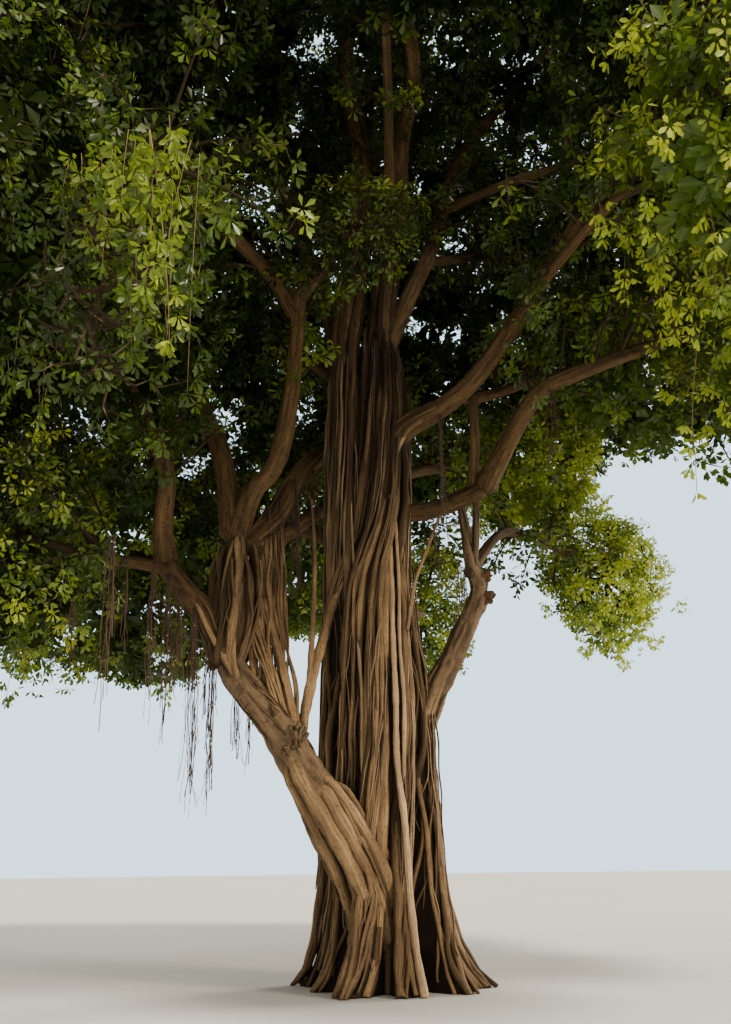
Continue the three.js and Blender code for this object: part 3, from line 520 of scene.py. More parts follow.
# Leaf blades: half-width as a share of the length, leaves in a whorl, and the outline's points,
# each with its place along the leaf and across it and its lift
FINE_BLADE = Blade(0.21, 6, [
    (0, 0, 0), (0.3, 0.45, 0.04), (0.66, 1, 0.07), (0.9, 0.62, 0.02), (1, 0, -0.06), (0.9, -0.62, 0.02),
    (0.66, -1, 0.07), (0.3, -0.45, 0.04),
])
NEAR_BLADE = Blade(0.22, 5, [
    (0, 0, 0), (0.5, 0.92, 0.05), (0.9, 0.58, 0.03), (0.9, -0.58, 0.03), (0.5, -0.92, 0.05),
])
SLIM_BLADE = Blade(0.24, 5, [(0, 0, 0), (0.68, 1, 0.06), (1, 0, 0), (0.68, -1, 0.06)])
BROAD_BLADE = Blade(0.28, 5, [(0, 0, 0), (0.66, 1, 0.06), (1, 0, 0), (0.66, -1, 0.06)])
NEAR_MASSES = ("leaves_low_front_left", "leaves_low_front_right", "leaves_hanging", "leaves_inner_front")
LEAF_SIZES = (0.72, 1.12)
LEAF_TILTS = (48, 86)
DROOP = 0.7
INNER_DROOP = 0.5
HANGING_DROOP = 1.3
FRONT_DROOP = 1.1
MOST_TRIANGLES = 190000

# Light; lamps by name, direction, strength, angle across in degrees, and colour
SKY = (1.0, 0.95, 0.82, 1)
SKY_LIGHT = 0.92
BACKDROP = (0.66, 0.86, 1.0, 1)
BACKDROP_BRIGHTNESS = 2.3
KEY_DIRECTION = (-0.5, 0.55, -0.85)
LAMPS = [
    ("key", KEY_DIRECTION, 4.3, 9, (1.0, 0.92, 0.76)),
    ("low", (-0.8, 0.62, -0.26), 3.0, 14, (1.0, 0.84, 0.64)),
    ("back", (-0.75, -0.45, -0.25), 3.4, 20, (1.0, 0.93, 0.76)),
]
FLOOR_RADIUS = 150
FLOOR_CORNERS = 96

# Bark finishes: light, dark and stain colours, then streaks round the limb, their pitch along it,
# scars, the cover of the stains, and the relief
BARK_ROWS = {
    # The dark cores between the trunk's roots: near-black browns painted as shade
    "trunk_recess_shade": ((0.1, 0.06, 0.035), (0.03, 0.018, 0.01), (0.04, 0.026, 0.015), 5, 1.5, 0.2, 0.5, 0.03),
    "aerial_root_bark": (
        (0.59, 0.385, 0.195), (0.108, 0.061, 0.028), (0.14, 0.086, 0.045), 3.2, 1.6, 0.2, 0.7, 0.02),
    # A lighter copy of the root bark, painted light for roots that catch it
    "tan_root_bark": ((0.8, 0.56, 0.33), (0.22, 0.135, 0.07), (0.26, 0.17, 0.1), 2.6, 1.6, 0.2, 0.6, 0.015),
    "fine_root_bark": (
        (0.68, 0.48, 0.29), (0.17, 0.1, 0.055), (0.22, 0.14, 0.08), 1.5, 2.0, 0.3, 0.5, 0.006),
    "hanging_root_bark": (
        (0.14, 0.085, 0.06), (0.05, 0.03, 0.022), (0.07, 0.045, 0.035), 1, 2.0, 0.1, 0.5, 0.002),
    "left_stem_bark": (
        (0.31, 0.21, 0.12), (0.085, 0.052, 0.028), (0.14, 0.09, 0.05), 2.4, 1.4, 0.25, 0.7, 0.02),
    "right_stem_bark": (
        (0.3, 0.205, 0.11), (0.066, 0.04, 0.022), (0.11, 0.068, 0.04), 1.8, 1.6, 0.25, 1.0, 0.02),
    "bough_bark": (
        (0.19, 0.11, 0.043), (0.04, 0.022, 0.009), (0.066, 0.04, 0.018), 2.8, 1.4, 0.25, 0.7, 0.016),
    "leader_bark": (
        (0.3, 0.18, 0.08), (0.042, 0.024, 0.01), (0.08, 0.05, 0.024), 2.8, 1.4, 0.25, 0.7, 0.016),
    # A darker copy of the bough bark, painted shade for the boughs inside the leaf masses
    "inner_bough_bark": (
        (0.08, 0.052, 0.024), (0.022, 0.014, 0.007), (0.032, 0.022, 0.011), 2.8, 1.4, 0.25, 0.5, 0.01),
    "twig_bark": ((0.2, 0.14, 0.085), (0.08, 0.055, 0.033), (0.1, 0.08, 0.045), 1, 3.0, 0.3, 0.5, 0.002),
    "hanging_twig_bark": (
        (0.26, 0.2, 0.09), (0.12, 0.09, 0.04), (0.14, 0.11, 0.05), 1, 3.0, 0.3, 0.4, 0.002),
    "torn_bark": ((0.24, 0.12, 0.065), (0.06, 0.03, 0.018), (0.1, 0.05, 0.03), 3.0, 6.0, 0.4, 0.8, 0.02),
}
BARK_COLOURS = ("Light", "Dark", "Stain")
BARK_NUMBERS = ("Streaks", "Streak Pitch", "Scars", "Stain Cover")

# Scales of the bark's scars, across a limb and along it, of its specks and of its stains
SCARS_ACROSS = 2.6
SCARS_ALONG = 26.0
SPECK_SCALE = 26.0
STAIN_SCALE = 1.3

# Limbs whose bark isn't the boughs' own
STEM_FINISHES = {"left_stem": "left_stem_bark", "right_stem": "right_stem_bark"}
STEM_FINISHES.update((name, "leader_bark") for name in LIMBS if "leader" in name)

# Leaf finishes, deepest first: one leaf's colours with light and shade painted in, from the
# near-black painted shade deep in the masses to lime painted sunlight. Each has blade, rib and
# glow colours, and the gloss
LEAF_ROWS = {
    "leaves_innermost": ((0.011, 0.02, 0.003), (0.017, 0.028, 0.005), (0.02, 0.04, 0.003), 0.05),
    "leaves_deep": ((0.012, 0.025, 0.003), (0.035, 0.056, 0.01), (0.04, 0.075, 0.006), 0.3),
    "leaves_shaded": ((0.025, 0.05, 0.005), (0.065, 0.1, 0.018), (0.085, 0.15, 0.009)),
    "leaves_green": ((0.052, 0.098, 0.008), (0.12, 0.18, 0.03), (0.16, 0.25, 0.013)),
    "leaves_lit": ((0.115, 0.185, 0.014), (0.23, 0.31, 0.055), (0.28, 0.39, 0.02)),
    "leaves_lime": ((0.27, 0.36, 0.028), (0.42, 0.5, 0.1), (0.48, 0.58, 0.038)),
}

# Sprays past each step of tone have the next finish, with more painted light. The leaves' colour
# drifts and varies at these scales, and they let this share of the light through
TONE_STEPS = (0.22, 0.42, 0.62, 0.82)
DRIFT_SCALE = 0.9
VARIETY_SCALE = 7.0
THROUGH_SHARE = 0.3

# How much brighter, in painted light, a spray is further out and towards the key light, and how
# far chance moves it
TONE_OUTWARD = 0.8
TONE_LIT = 0.16
TONE_CHANCE = 0.18
HANGING_TONE_LIFT = 0.12
SHOOT_TONES = (0.05, 0.72)
GAP_TONES = (0.0, 0.5)

random = np.random.default_rng(17)


def unit(vectors):
    """The vectors divided by their lengths."""
    return vectors / np.maximum(np.linalg.norm(vectors, axis=-1, keepdims=True), 1e-9)


def mix(a, b, share):
    """Straight from a to b."""
    return a + (b - a) * share


def smooth_step(low, high, values):
    """From 0 at low to 1 at high, level at both ends: three squares less two cubes of the share."""
    share = np.clip((values - low) / (high - low), 0, 1)
    return share * share * (3 - 2 * share)


def hashed(numbers):
    """Repeatable values from 0 to 1: the fraction that is left of a large multiple of a sine."""
    value = np.sin(np.asarray(numbers) * 127.1 + 11.7) * 43758.5453
    return value - np.floor(value)


def evenly(at, low, high, values):
    """Values spread evenly from low to high, read off at given places."""
    return np.interp(at, np.linspace(low, high, len(values)), values)


def along_curve(at, run, curve):
    """Points of a curve at given runs, straight between its own points."""
    return np.stack([np.interp(at, run, curve[:, axis]) for axis in range(3)], axis=-1)


def smooth_path(way, count):
    """A smooth curve through the way points, sampled at even distances.

    Between two points it is the cubic that leaves and meets them along half the chord between
    their neighbours."""
    way = np.asarray(way, float)
    points = np.vstack([2 * way[0] - way[1], way, 2 * way[-1] - way[-2]])
    slope = 0.5 * (points[2:] - points[:-2])[:, None]
    t = np.linspace(0, 1, CURVE_STEPS, endpoint=False)[None, :, None]
    start = (2 * t**3 - 3 * t**2 + 1) * way[:-1, None] + (t**3 - 2 * t**2 + t) * slope[:-1]
    end = (3 * t**2 - 2 * t**3) * way[1:, None] + (t**3 - t**2) * slope[1:]
    curve = np.vstack([(start + end).reshape(-1, 3), way[-1]])
    run = lengths_along(curve)
    return along_curve(np.linspace(0, run[-1], count), run, curve)


def lengths_along(paths):
    """Distance from each path's start to each of its points."""
    pieces = np.linalg.norm(np.diff(paths, axis=-2), axis=-1)
    return np.concatenate([np.zeros_like(pieces[..., :1]), np.cumsum(pieces, axis=-1)], axis=-1)


def across(paths):
    """Two unit vectors square to a path at each of its points: its direction crossed with the
    axis that the whole path runs along least, and its direction crossed with that."""
    along = unit(np.gradient(paths, axis=-2))
    least = np.argmin(np.abs(along.mean(axis=-2)), axis=-1)
    side = unit(np.cross(along, np.eye(3)[least][..., None, :]))
    return side, np.cross(along, side)


def ring_angles(sides):
    """Even turns round a ring."""
    return 2 * np.pi * np.arange(sides) / sides


def turned(angle, side, up):
    """Directions turned by an angle from one way to another: its cosine and sine of the two."""
    return np.cos(angle)[..., None] * side + np.sin(angle)[..., None] * up


def level_way(angle):
    """The level direction at an angle round the upright axis."""
    return np.stack([np.cos(angle), np.sin(angle), 0 * angle], axis=-1)


def grid_shape(points, along, dirt=0.0):
    """Closed tubes from rings of points: a wall between each two rings and a flat face at both
    ends. Every corner keeps its turn round the tube and its distance along it, and every point
    how much painted shade and grime darken it, from 0 to 1."""
    count, steps, sides = points.shape[:3]
    number = np.arange(count * steps * sides).reshape(count, steps, sides)
    after = np.roll(number, -1, axis=2)
    walls = np.stack([number[:, :-1], after[:, :-1], after[:, 1:], number[:, 1:]], axis=-1)
    turn = np.arange(sides) / sides
    turns = np.stack([turn, turn + 1 / sides, turn + 1 / sides, turn], axis=-1)
    turns = np.broadcast_to(turns, walls.shape)
    run = np.broadcast_to(along[..., None], (count, steps, sides))
    runs = np.stack([run[:, :-1], run[:, :-1], run[:, 1:], run[:, 1:]], axis=-1)
    ends = np.concatenate([number[:, 0, ::-1], number[:, -1]])
    end_runs = np.concatenate([run[:, 0], run[:, -1]])
    end_turns = np.broadcast_to(turn, end_runs.shape)
    return Shape(
        points.reshape(-1, 3),
        [walls.reshape(-1, 4), ends],
        [np.stack([turns, runs], axis=-1).reshape(-1, 4, 2), np.stack([end_turns, end_runs], -1)],
        np.broadcast_to(dirt, (count, steps, sides)).ravel(),
    )


def tubes(paths, radii, sides, outward=None, shade=0.0):
    """Tubes along paths. A ring is the path's point plus the radius times the cosine and sine of
    the angle on the two vectors square to the path. Where the tubes lie on a column, the faces
    that turn from the column's outward direction are painted dark as the shade between them."""
    paths = np.reshape(paths, (-1,) + np.shape(paths)[-2:])
    radii = np.reshape(radii, paths.shape[:2] + (1, 1))
    side, up = across(paths)
    ring = turned(ring_angles(sides), side[:, :, None], up[:, :, None])
    dirt = shade
    if outward is not None:
        facing = (ring * outward[:, :, None]).sum(axis=-1)
        dirt = np.clip(shade + smooth_step(0.75, -0.2, facing), 0, 1)
    return grid_shape(paths[:, :, None] + radii * ring, lengths_along(paths), dirt)


def joined(shapes):
    """Several shapes as one, with the later ones' corner numbers moved up."""
    starts = np.cumsum([0] + [len(shape.points) for shape in shapes[:-1]])
    faces = [face + start for shape, start in zip(shapes, starts) for face in shape.faces]
    run = [uv for shape in shapes for uv in shape.run]
    dirt = np.concatenate([shape.dirt for shape in shapes])
    return Shape(np.vstack([shape.points for shape in shapes]), faces, run, dirt)


def linked(name, data):
    """A new object with this data, in the scene."""
    made = bpy.data.objects.new(name, data)
    bpy.context.scene.collection.objects.link(made)
    return made


def make_piece(name, shape, material, nodes):
    """A smooth mesh piece at the origin, with its corners' run round and along it as its map."""
    mesh = bpy.data.meshes.new(name)
    corners = np.concatenate([face.ravel() for face in shape.faces])
    sizes = np.concatenate([np.full(len(face), face.shape[1]) for face in shape.faces])
    mesh.vertices.add(len(shape.points))
    points = np.maximum(shape.points, (-np.inf, -np.inf, 0))
    mesh.vertices.foreach_set("co", points.astype(np.float32).ravel())
    mesh.loops.add(len(corners))
    mesh.loops.foreach_set("vertex_index", corners.astype(np.int32))
    mesh.polygons.add(len(sizes))
    starts = np.concatenate([[0], np.cumsum(sizes)[:-1]])
    mesh.polygons.foreach_set("loop_start", starts.astype(np.int32))
    mesh.polygons.foreach_set("use_smooth", np.ones(len(sizes), bool))
    mesh.update(calc_edges=True)
    layer = mesh.uv_layers.new(name="Run")
    run = np.concatenate([uv.reshape(-1, 2) for uv in shape.run])
    layer.uv.foreach_set("vector", run.astype(np.float32).ravel())
    # Each point's darkening by painted shade and grime, which the bark reads
    if shape.dirt.any():
        dirt = mesh.attributes.new("Dirt", "FLOAT", "POINT")
        dirt.data.foreach_set("value", shape.dirt.astype(np.float32))
    mesh.materials.append(material)
    piece = linked(name, mesh)
    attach(piece, "root")
    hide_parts(*nodes)


def add_camera():
    """The camera stands at the eye, turned from looking down to looking ahead and up."""
    data = bpy.data.cameras.new("eye")
    data.sensor_width = SENSOR
    data.lens = SENSOR * FOCAL_PIXELS / FRAME_HEIGHT
    data.clip_end = FARTHEST
    camera = linked("eye", data)
    turn = Euler((np.pi / 2 + LOOK_UP, 0, 0)).to_matrix().to_4x4()
    camera.matrix_world = Matrix.Translation(EYE) @ turn @ Matrix.Rotation(-LEAN, 4, "Z")
    bpy.context.scene.camera = camera


def add_studio():
    """A wide pale floor, an even pale sky and three soft lamps that shine evenly along their
    directions. The sky that the camera sees is brighter than the light that it gives."""
    world = bpy.data.worlds.new("studio")
    world.use_nodes = True
    tree = world.node_tree
    light = tree.nodes["Background"]
    light.inputs["Color"].default_value = SKY
    light.inputs["Strength"].default_value = SKY_LIGHT
    backdrop = node(tree, "ShaderNodeBackground", {"Color": BACKDROP, "Strength": BACKDROP_BRIGHTNESS})
    seen = tree.nodes.new("ShaderNodeLightPath").outputs["Is Camera Ray"]
    both = node(tree, "ShaderNodeMixShader", {0: seen, 1: light.outputs[0], 2: backdrop.outputs[0]})
    tree.links.new(both.outputs[0], tree.nodes["World Output"].inputs["Surface"])
    bpy.context.scene.world = world
    for name, direction, strength, softness, colour in LAMPS:
        data = bpy.data.lights.new(name, "SUN")
        data.energy = strength
        data.angle = np.radians(softness)
        data.color = colour
        linked(name, data).rotation_euler = Vector(direction).to_track_quat("-Z", "Y").to_euler()
    ring = FLOOR_RADIUS * level_way(ring_angles(FLOOR_CORNERS))
    mesh = bpy.data.meshes.new("floor")
    mesh.from_pydata(ring.tolist(), [], [list(range(FLOOR_CORNERS))])
    mesh.materials.append(floor_material())
    floor = linked("floor", mesh)


def node(tree, kind, values=None, **settings):
    """A new shader node with its settings, and its inputs set or linked by name or number."""
    new = tree.nodes.new(kind)
    for name, value in settings.items():
        setattr(new, name, value)
    for name, value in (values or {}).items():
        if isinstance(value, bpy.types.NodeSocket):
            tree.links.new(value, new.inputs[name])
        else:
            new.inputs[name].default_value = value
    return new


def maths(tree, operation, *values):
    """The result of one sum on numbers or sockets."""
    return node(tree, "ShaderNodeMath", dict(enumerate(values)), operation=operation).outputs[0]


def product(tree, a, b):
    """The product of two numbers or sockets."""
    return maths(tree, "MULTIPLY", a, b)


def scaled(tree, colour, scale):
    """A colour times a number."""
    return node(tree, "ShaderNodeVectorMath", {0: colour, 3: scale}, operation="SCALE").outputs[0]


def noise(tree, vector, scale, detail, roughness=0.55):
    """Smooth noise from 0 to 1 over a vector."""
    values = {"Vector": vector, "Scale": scale, "Detail": detail, "Roughness": roughness}
    return node(tree, "ShaderNodeTexNoise", values).outputs["Fac"]


def ranged(tree, value, low, high, to_low=0.0, to_high=1.0):
    """The value's range stretched to another one, and held inside it."""
    values = {0: value, 1: low, 2: high, 3: to_low, 4: to_high}
    return node(tree, "ShaderNodeMapRange", values).outputs[0]


def blended(tree, share, a, b):
    """Colour a turning into colour b."""
    values = {0: share, 6: a, 7: b}
    return node(tree, "ShaderNodeMix", values, data_type="RGBA").outputs[2]


def new_group(name, inputs, outputs):
    """A node group with sockets named under each kind, and its two end nodes' sockets."""
    group = bpy.data.node_groups.new(name, "ShaderNodeTree")
    for way, kinds in (("INPUT", inputs), ("OUTPUT", outputs)):
        for kind, sockets in kinds.items():
            for socket in sockets:
                group.interface.new_socket(socket, in_out=way, socket_type="NodeSocket" + kind)
    start = group.nodes.new("NodeGroupInput").outputs
    return group, start, group.nodes.new("NodeGroupOutput").inputs


def bark_group():
    """Bark: streaks along the grain, short dark scars across it, broad stains and fine specks, and
    each point darkened by its painted shade and grime.

    The streaks are noise over the cosine and sine of the turn round the limb and the distance
    along it, so that they close round it."""
    inputs = {"Vector": ("Run", "Place"), "Color": BARK_COLOURS, "Float": BARK_NUMBERS + ("Dirt",)}
    outputs = {"Color": ("Color",), "Float": ("Roughness", "Height")}
    group, given, out = new_group("bark_grain", inputs, outputs)
    run = node(group, "ShaderNodeSeparateXYZ", {0: given["Run"]}).outputs
    angle = product(group, run[0], 2 * np.pi)
    round_it = maths(group, "COSINE", angle), maths(group, "SINE", angle)

    def wound(crosswise, lengthwise):
        """A place on the limb's round, stretched crosswise and lengthwise."""
        parts = [product(group, part, crosswise) for part in round_it]
        parts.append(product(group, run[1], lengthwise))
        return node(group, "ShaderNodeCombineXYZ", dict(enumerate(parts))).outputs[0]

    grain = wound(given["Streaks"], given["Streak Pitch"])
    streak = ranged(group, noise(group, grain, 1.0, 4.0, 0.62), 0.3, 0.7)
    mark = ranged(group, noise(group, wound(SCARS_ACROSS, SCARS_ALONG), 1.0, 2.0), 0.56, 0.68)
    scar = product(group, mark, given["Scars"])
    speck = noise(group, given["Place"], SPECK_SCALE, 3.0, 0.65)
    stain = ranged(group, noise(group, given["Place"], STAIN_SCALE, 4.0, 0.6), 0.42, 0.62)
    light = maths(group, "MULTIPLY_ADD", streak, 0.62, product(group, speck, 0.5))
    tone = ranged(group, maths(group, "SUBTRACT", light, scar), 0.2, 0.95)
    plain = blended(group, tone, given["Dark"], given["Light"])
    stained = blended(group, product(group, stain, given["Stain Cover"]), plain, given["Stain"])
    # Painted shade and grime: the colour turns towards a deep brown as far as each point's value goes
    shade_and_dirt_colour = scaled(group, given["Dark"], 0.22)
    shade_and_dirt_share = product(group, given["Dirt"], 0.92)
    group.links.new(blended(group, shade_and_dirt_share, stained, shade_and_dirt_colour), out["Color"])
    group.links.new(ranged(group, speck, 0.3, 0.7, 0.72, 0.97), out["Roughness"])
    height = maths(group, "MULTIPLY_ADD", streak, 0.7, product(group, speck, 0.3))
    group.links.new(maths(group, "SUBTRACT", height, scar), out["Height"])
    return group


def leaf_group():
    """A leaf's blade: a pale rib down its middle, and a slow drift of tone and warmth from one
    part of the crown to another."""
    inputs = {"Vector": ("Blade", "Place"), "Color": ("Base", "Rib")}
    outputs = {"Color": ("Color",), "Float": ("Roughness",)}
    group, given, out = new_group("leaf_blade", inputs, outputs)
    blade = node(group, "ShaderNodeSeparateXYZ", {0: given["Blade"]}).outputs
    aside = maths(group, "ABSOLUTE", maths(group, "SUBTRACT", blade[1], 0.5))
    rib = ranged(group, aside, 0.03, 0.1, 0.65, 0.0)
    drift = ranged(group, noise(group, given["Place"], DRIFT_SCALE, 3.0), 0.35, 0.65)
    tone = ranged(group, noise(group, given["Place"], VARIETY_SCALE, 1.0), 0.3, 0.7, 0.72, 1.3)
    shaded = scaled(group, given["Base"], tone)
    warmer = {0: shaded, 1: (1.3, 1.08, 0.75)}
    warm = node(group, "ShaderNodeVectorMath", warmer, operation="MULTIPLY").outputs[0]
    face = blended(group, drift, shaded, warm)
    group.links.new(blended(group, rib, face, given["Rib"]), out["Color"])
    group.links.new(ranged(group, tone, 0.7, 1.3, 0.28, 0.45), out["Roughness"])
    return group


def new_material(name):
    """An empty node material, its Principled shader and its places to read from."""
    material = bpy.data.materials.new(name)
    material.use_nodes = True
    tree = material.node_tree
    place = tree.nodes.new("ShaderNodeTexCoord").outputs["Object"]
    run = node(tree, "ShaderNodeUVMap", uv_map="Run").outputs[0]
    return material, tree, tree.nodes["Principled BSDF"], place, run


def bark(name, light, dark, stain, *numbers):
    """A bark finish: the shared grain with its own colours, and its height as a bump."""
    material, tree, shader, place, run = new_material(name)
    # Each point's darkening by painted shade and grime
    dirt = node(tree, "ShaderNodeAttribute", attribute_name="Dirt").outputs["Fac"]
    values = {"Run": run, "Place": place, "Dirt": dirt}
    values.update(zip(BARK_COLOURS, [(*colour, 1) for colour in (light, dark, stain)]))
    values.update(zip(BARK_NUMBERS, numbers))
    grain = node(tree, "ShaderNodeGroup", values, node_tree=BARK_GRAIN).outputs
    bump = node(tree, "ShaderNodeBump", {"Height": grain["Height"], "Distance": numbers[-1]})
    tree.links.new(grain["Color"], shader.inputs["Base Color"])
    tree.links.new(grain["Roughness"], shader.inputs["Roughness"])
    tree.links.new(bump.outputs[0], shader.inputs["Normal"])
    shader.inputs["Specular IOR Level"].default_value = 0.25
    return material


def leaf(name, base, rib, through, gloss=0.4):
    """A leaf finish: a glossy blade that lets a share of the light from behind through."""
    material, tree, shader, place, run = new_material(name)
    values = {"Blade": run, "Place": place, "Base": (*base, 1), "Rib": (*rib, 1)}
    blade = node(tree, "ShaderNodeGroup", values, node_tree=LEAF_BLADE)
    tree.links.new(blade.outputs["Color"], shader.inputs["Base Color"])
    tree.links.new(blade.outputs["Roughness"], shader.inputs["Roughness"])
    shader.inputs["Specular IOR Level"].default_value = gloss
    glow = node(tree, "ShaderNodeBsdfTranslucent", {"Color": (*through, 1)})
    values = {0: THROUGH_SHARE, 1: shader.outputs[0], 2: glow.outputs[0]}
    both = node(tree, "ShaderNodeMixShader", values)
    tree.links.new(both.outputs[0], tree.nodes["Material Output"].inputs["Surface"])
    return material


def floor_material():
    """A plain pale floor with a faint mottling."""
    material, tree, shader, place, run = new_material("pale_floor")
    mottle = ranged(tree, noise(tree, place, 0.15, 3.0), 0.3, 0.7)
    tone = blended(tree, mottle, (0.56, 0.56, 0.55, 1), (0.6, 0.6, 0.59, 1))
    tree.links.new(tone, shader.inputs["Base Color"])
    shader.inputs["Roughness"].default_value = 0.9
    shader.inputs["Specular IOR Level"].default_value = 0.1
    return material


def ripples(angle, along, seed, count, lowest, highest, pitch):
    """Bark unevenness from -1 to 1: the mean of waves that each have a whole number of crests
    round the limb, their own pitch along it and their own phase."""
    source = np.random.default_rng(seed)
    crests = source.integers(lowest, highest + 1, count)
    slant = source.uniform(-pitch, pitch, count)
    phase = source.uniform(0, 2 * np.pi, count)
    waves = np.cos(crests * angle[..., None] + slant * along[..., None] + phase)
    return waves.sum(axis=-1) / np.sqrt(count)


def column_centre(way, heights):
    """Points of a column's axis at given heights, straight between close samples of its curve."""
    axis = smooth_path(way, 200)
    spot = [np.interp(heights, axis[:, 2], axis[:, k]) for k in (0, 1)]
    return np.stack(spot + [heights], axis=-1)


def trunk_surface(heights, angle):
    """The fluted column's radius, and its painted shade. The radius is the table's, widened and
    narrowed by nine flutes and four broad lobes that deepen near the ground. Between its ridges
    gorges cut further in, and they are painted dark as shade, less so near the ground."""
    table = np.array(TRUNK_RADIUS_AT)
    depth = FLUTE_DEPTH + ROOT_FLARE_DEPTH * np.exp(-heights / ROOT_FLARE_HEIGHT)
    own = angle - FLUTE_TWIST * heights
    lobe = BROAD_LOBES * own + LOBE_TURN + 3 * FLUTE_TWIST * heights
    wave = np.cos(TRUNK_FLUTES * own) + LOBE_SHARE * np.cos(lobe)
    gorge = smooth_step(0.1, -0.9, wave)
    radius = np.interp(heights, table[:, 0], table[:, 1]) * (1 + depth * wave)
    dirt = GORGE_SHADE * gorge * smooth_step(GORGE_SHADE_FROM, GORGE_SHADE_FULL, heights)
    return radius * (1 - GORGE_DEPTH * gorge), dirt


def left_column_surface(heights, angle):
    """The second column's radius, which tapers evenly between seven low ridges, and its painted
    shade, over all of it and more between the ridges.
    """
    low, high = LEFT_COLUMN_WAY[0][2], LEFT_COLUMN_WAY[-1][2]
    ridges = np.cos(LEFT_COLUMN_RIDGES * angle + 0.8 * heights)
    radius = evenly(heights, low, high, LEFT_COLUMN_RADIUS) * (1 + 0.07 * ridges)
    return radius, 0.25 - 0.2 * ridges


def bundle_surface(heights, angle):
    """The radius of the bundle of roots on the leaning stem, in five ridges, and its painted shade,
    over all of it and more between the ridges.
    """
    limb = LIMBS["left_root_bundle"]
    ridges = np.cos(BUNDLE_RIDGES * angle - 0.9 * heights)
    radius = evenly(heights, limb.way[0][2], limb.way[-1][2], limb.radius) * (1 + 0.12 * ridges)
    return radius, 0.2 - 0.25 * ridges


def column_core(way, surface, share, sides, steps, seed):
    """The heart of a column, painted dark as the shade between its roots: level rings at a share of
    its radius, roughened by ripples and drawn in at the top."""
    low, high = way[0][2], way[-1][2]
    heights = np.linspace(low, high, steps)[:, None]
    angle = ring_angles(sides)[None]
    ripple = ripples(angle + 0 * heights, heights + 0 * angle, seed, 10, 3, 14, 5)
    radius, _ = surface(heights, angle)
    drawn_in = np.interp(heights, (high - CORE_TOP, high), (1, CORE_TOP_SHARE))
    out = share * radius * (1 + CORE_ROUGHNESS * ripple) * drawn_in
    points = column_centre(way, heights[:, 0])[:, None] + out[..., None] * level_way(angle)
    return grid_shape(points[None], heights[:, 0][None] - low, CORE_SHADE)


def strand_runs(strands):
    """What strands share on columns and limbs: each one's own distance up, its turn, its radius
    and how far it stands out. It sways by two slow waves and a small fast one, swells and thins,
    and at its top end it tapers and sinks in."""
    source = np.random.default_rng(strands.seed)
    count = strands.count
    spread = np.arange(count) + source.uniform(-0.42, 0.42, count)
    low = source.uniform(*strands.low, count)[:, None]
    high = source.uniform(*strands.high, count)[:, None]
    rise = np.linspace(0, 1, strands.steps)[None]
    up = mix(low, high, rise)
    phase = source.uniform(0, 2 * np.pi, (3, count, 1))
    pitch = source.uniform(0.5, 1.6, (2, count, 1))
    sway = np.sin(pitch[0] * up + phase[0]) + 0.5 * np.sin(2.3 * pitch[1] * up + phase[1])
    sway = sway + 0.16 * np.sin(7 * pitch[1] * up + phase[2])
    turn = 2 * np.pi * spread[:, None] / count + strands.wander * sway
    thick = source.uniform(*strands.thick, count)[:, None]
    swell = 1 + 0.2 * np.sin(2.1 * pitch[1] * up + phase[2]) + 0.1 * np.sin(9 * pitch[0] * up + phase[0])
    taper = np.clip((1 - rise) / 0.08, 0.2, 1) ** 0.5 * np.clip(rise / 0.05, 0.4, 1) ** 0.5
    radii = thick * swell * taper
    inset = source.uniform(*strands.inset, count)[:, None]
    lift = inset * thick * swell - (1.2 + inset) * thick * smooth_step(0.86, 1.0, rise)
    shade = source.uniform(0, 0.85, (count, 1, 1)) ** 1.8
    return up, turn, radii, lift, shade


def column_strands(way, surface, strands):
    """Aerial roots fused to a column: each rides on its surface at its own turn."""
    heights, turn, radii, lift, shade = strand_runs(strands)
    angle = turn + FLUTE_TWIST * heights
    reach, gloom = surface(heights, angle)
    radii = radii * (1 + 0.5 * np.exp(-heights / 0.5))
    centre = column_centre(way, heights.ravel()).reshape(heights.shape + (3,))
    level = level_way(angle)
    paths = centre + (reach + lift)[..., None] * level
    # Painted shade: the surface's dark hollows, and the crown's shade on the roots higher up
    gloom = gloom + CROWN_SHADE * smooth_step(CROWN_SHADE_FROM, CROWN_SHADE_TO, heights)
    return tubes(paths, radii, strands.sides, level, shade + gloom[..., None])


def rooted_way(name):
    """A limb's way and radii. A leader's run on down, a little thinner, among the trunk's roots."""
    way, radii = limb_way(name), LIMBS[name].radius
    if name not in ROOTED_LEADERS:
        return way, radii
    down = ROOTED_LEADERS[name]
    length = lengths_along(way)[-1]
    place = np.linspace(-down, length, 12)
    radii = evenly(place, 0, length, radii) * np.interp(place, (-down, 0), (0.8, 1))
    return np.vstack([way[0] - (0, 0, down), way]), radii


def limb_strands(name, strands):
    """Aerial roots that cling to a limb: their distances run along it from its foot."""
    way, radius = rooted_way(name)
    path = smooth_path(way, 120)
    along = lengths_along(path)
    distance, turn, radii, lift, shade = strand_runs(strands)
    distance = np.clip(distance, 0, along[-1])
    thick = evenly(distance / along[-1], 0, 1, radius)
    spot, beside, above = [along_curve(distance, along, field) for field in (path, *across(path))]
    outward = turned(turn, beside, above)
    # A leader's strands are painted darker near its foot, as the crown's shade on the trunk's top
    if name in ROOTED_LEADERS:
        shade = shade + 0.5 * np.exp(-distance / 2)[..., None]
    return tubes(spot + (thick + lift)[..., None] * outward, radii, strands.sides, outward, shade)


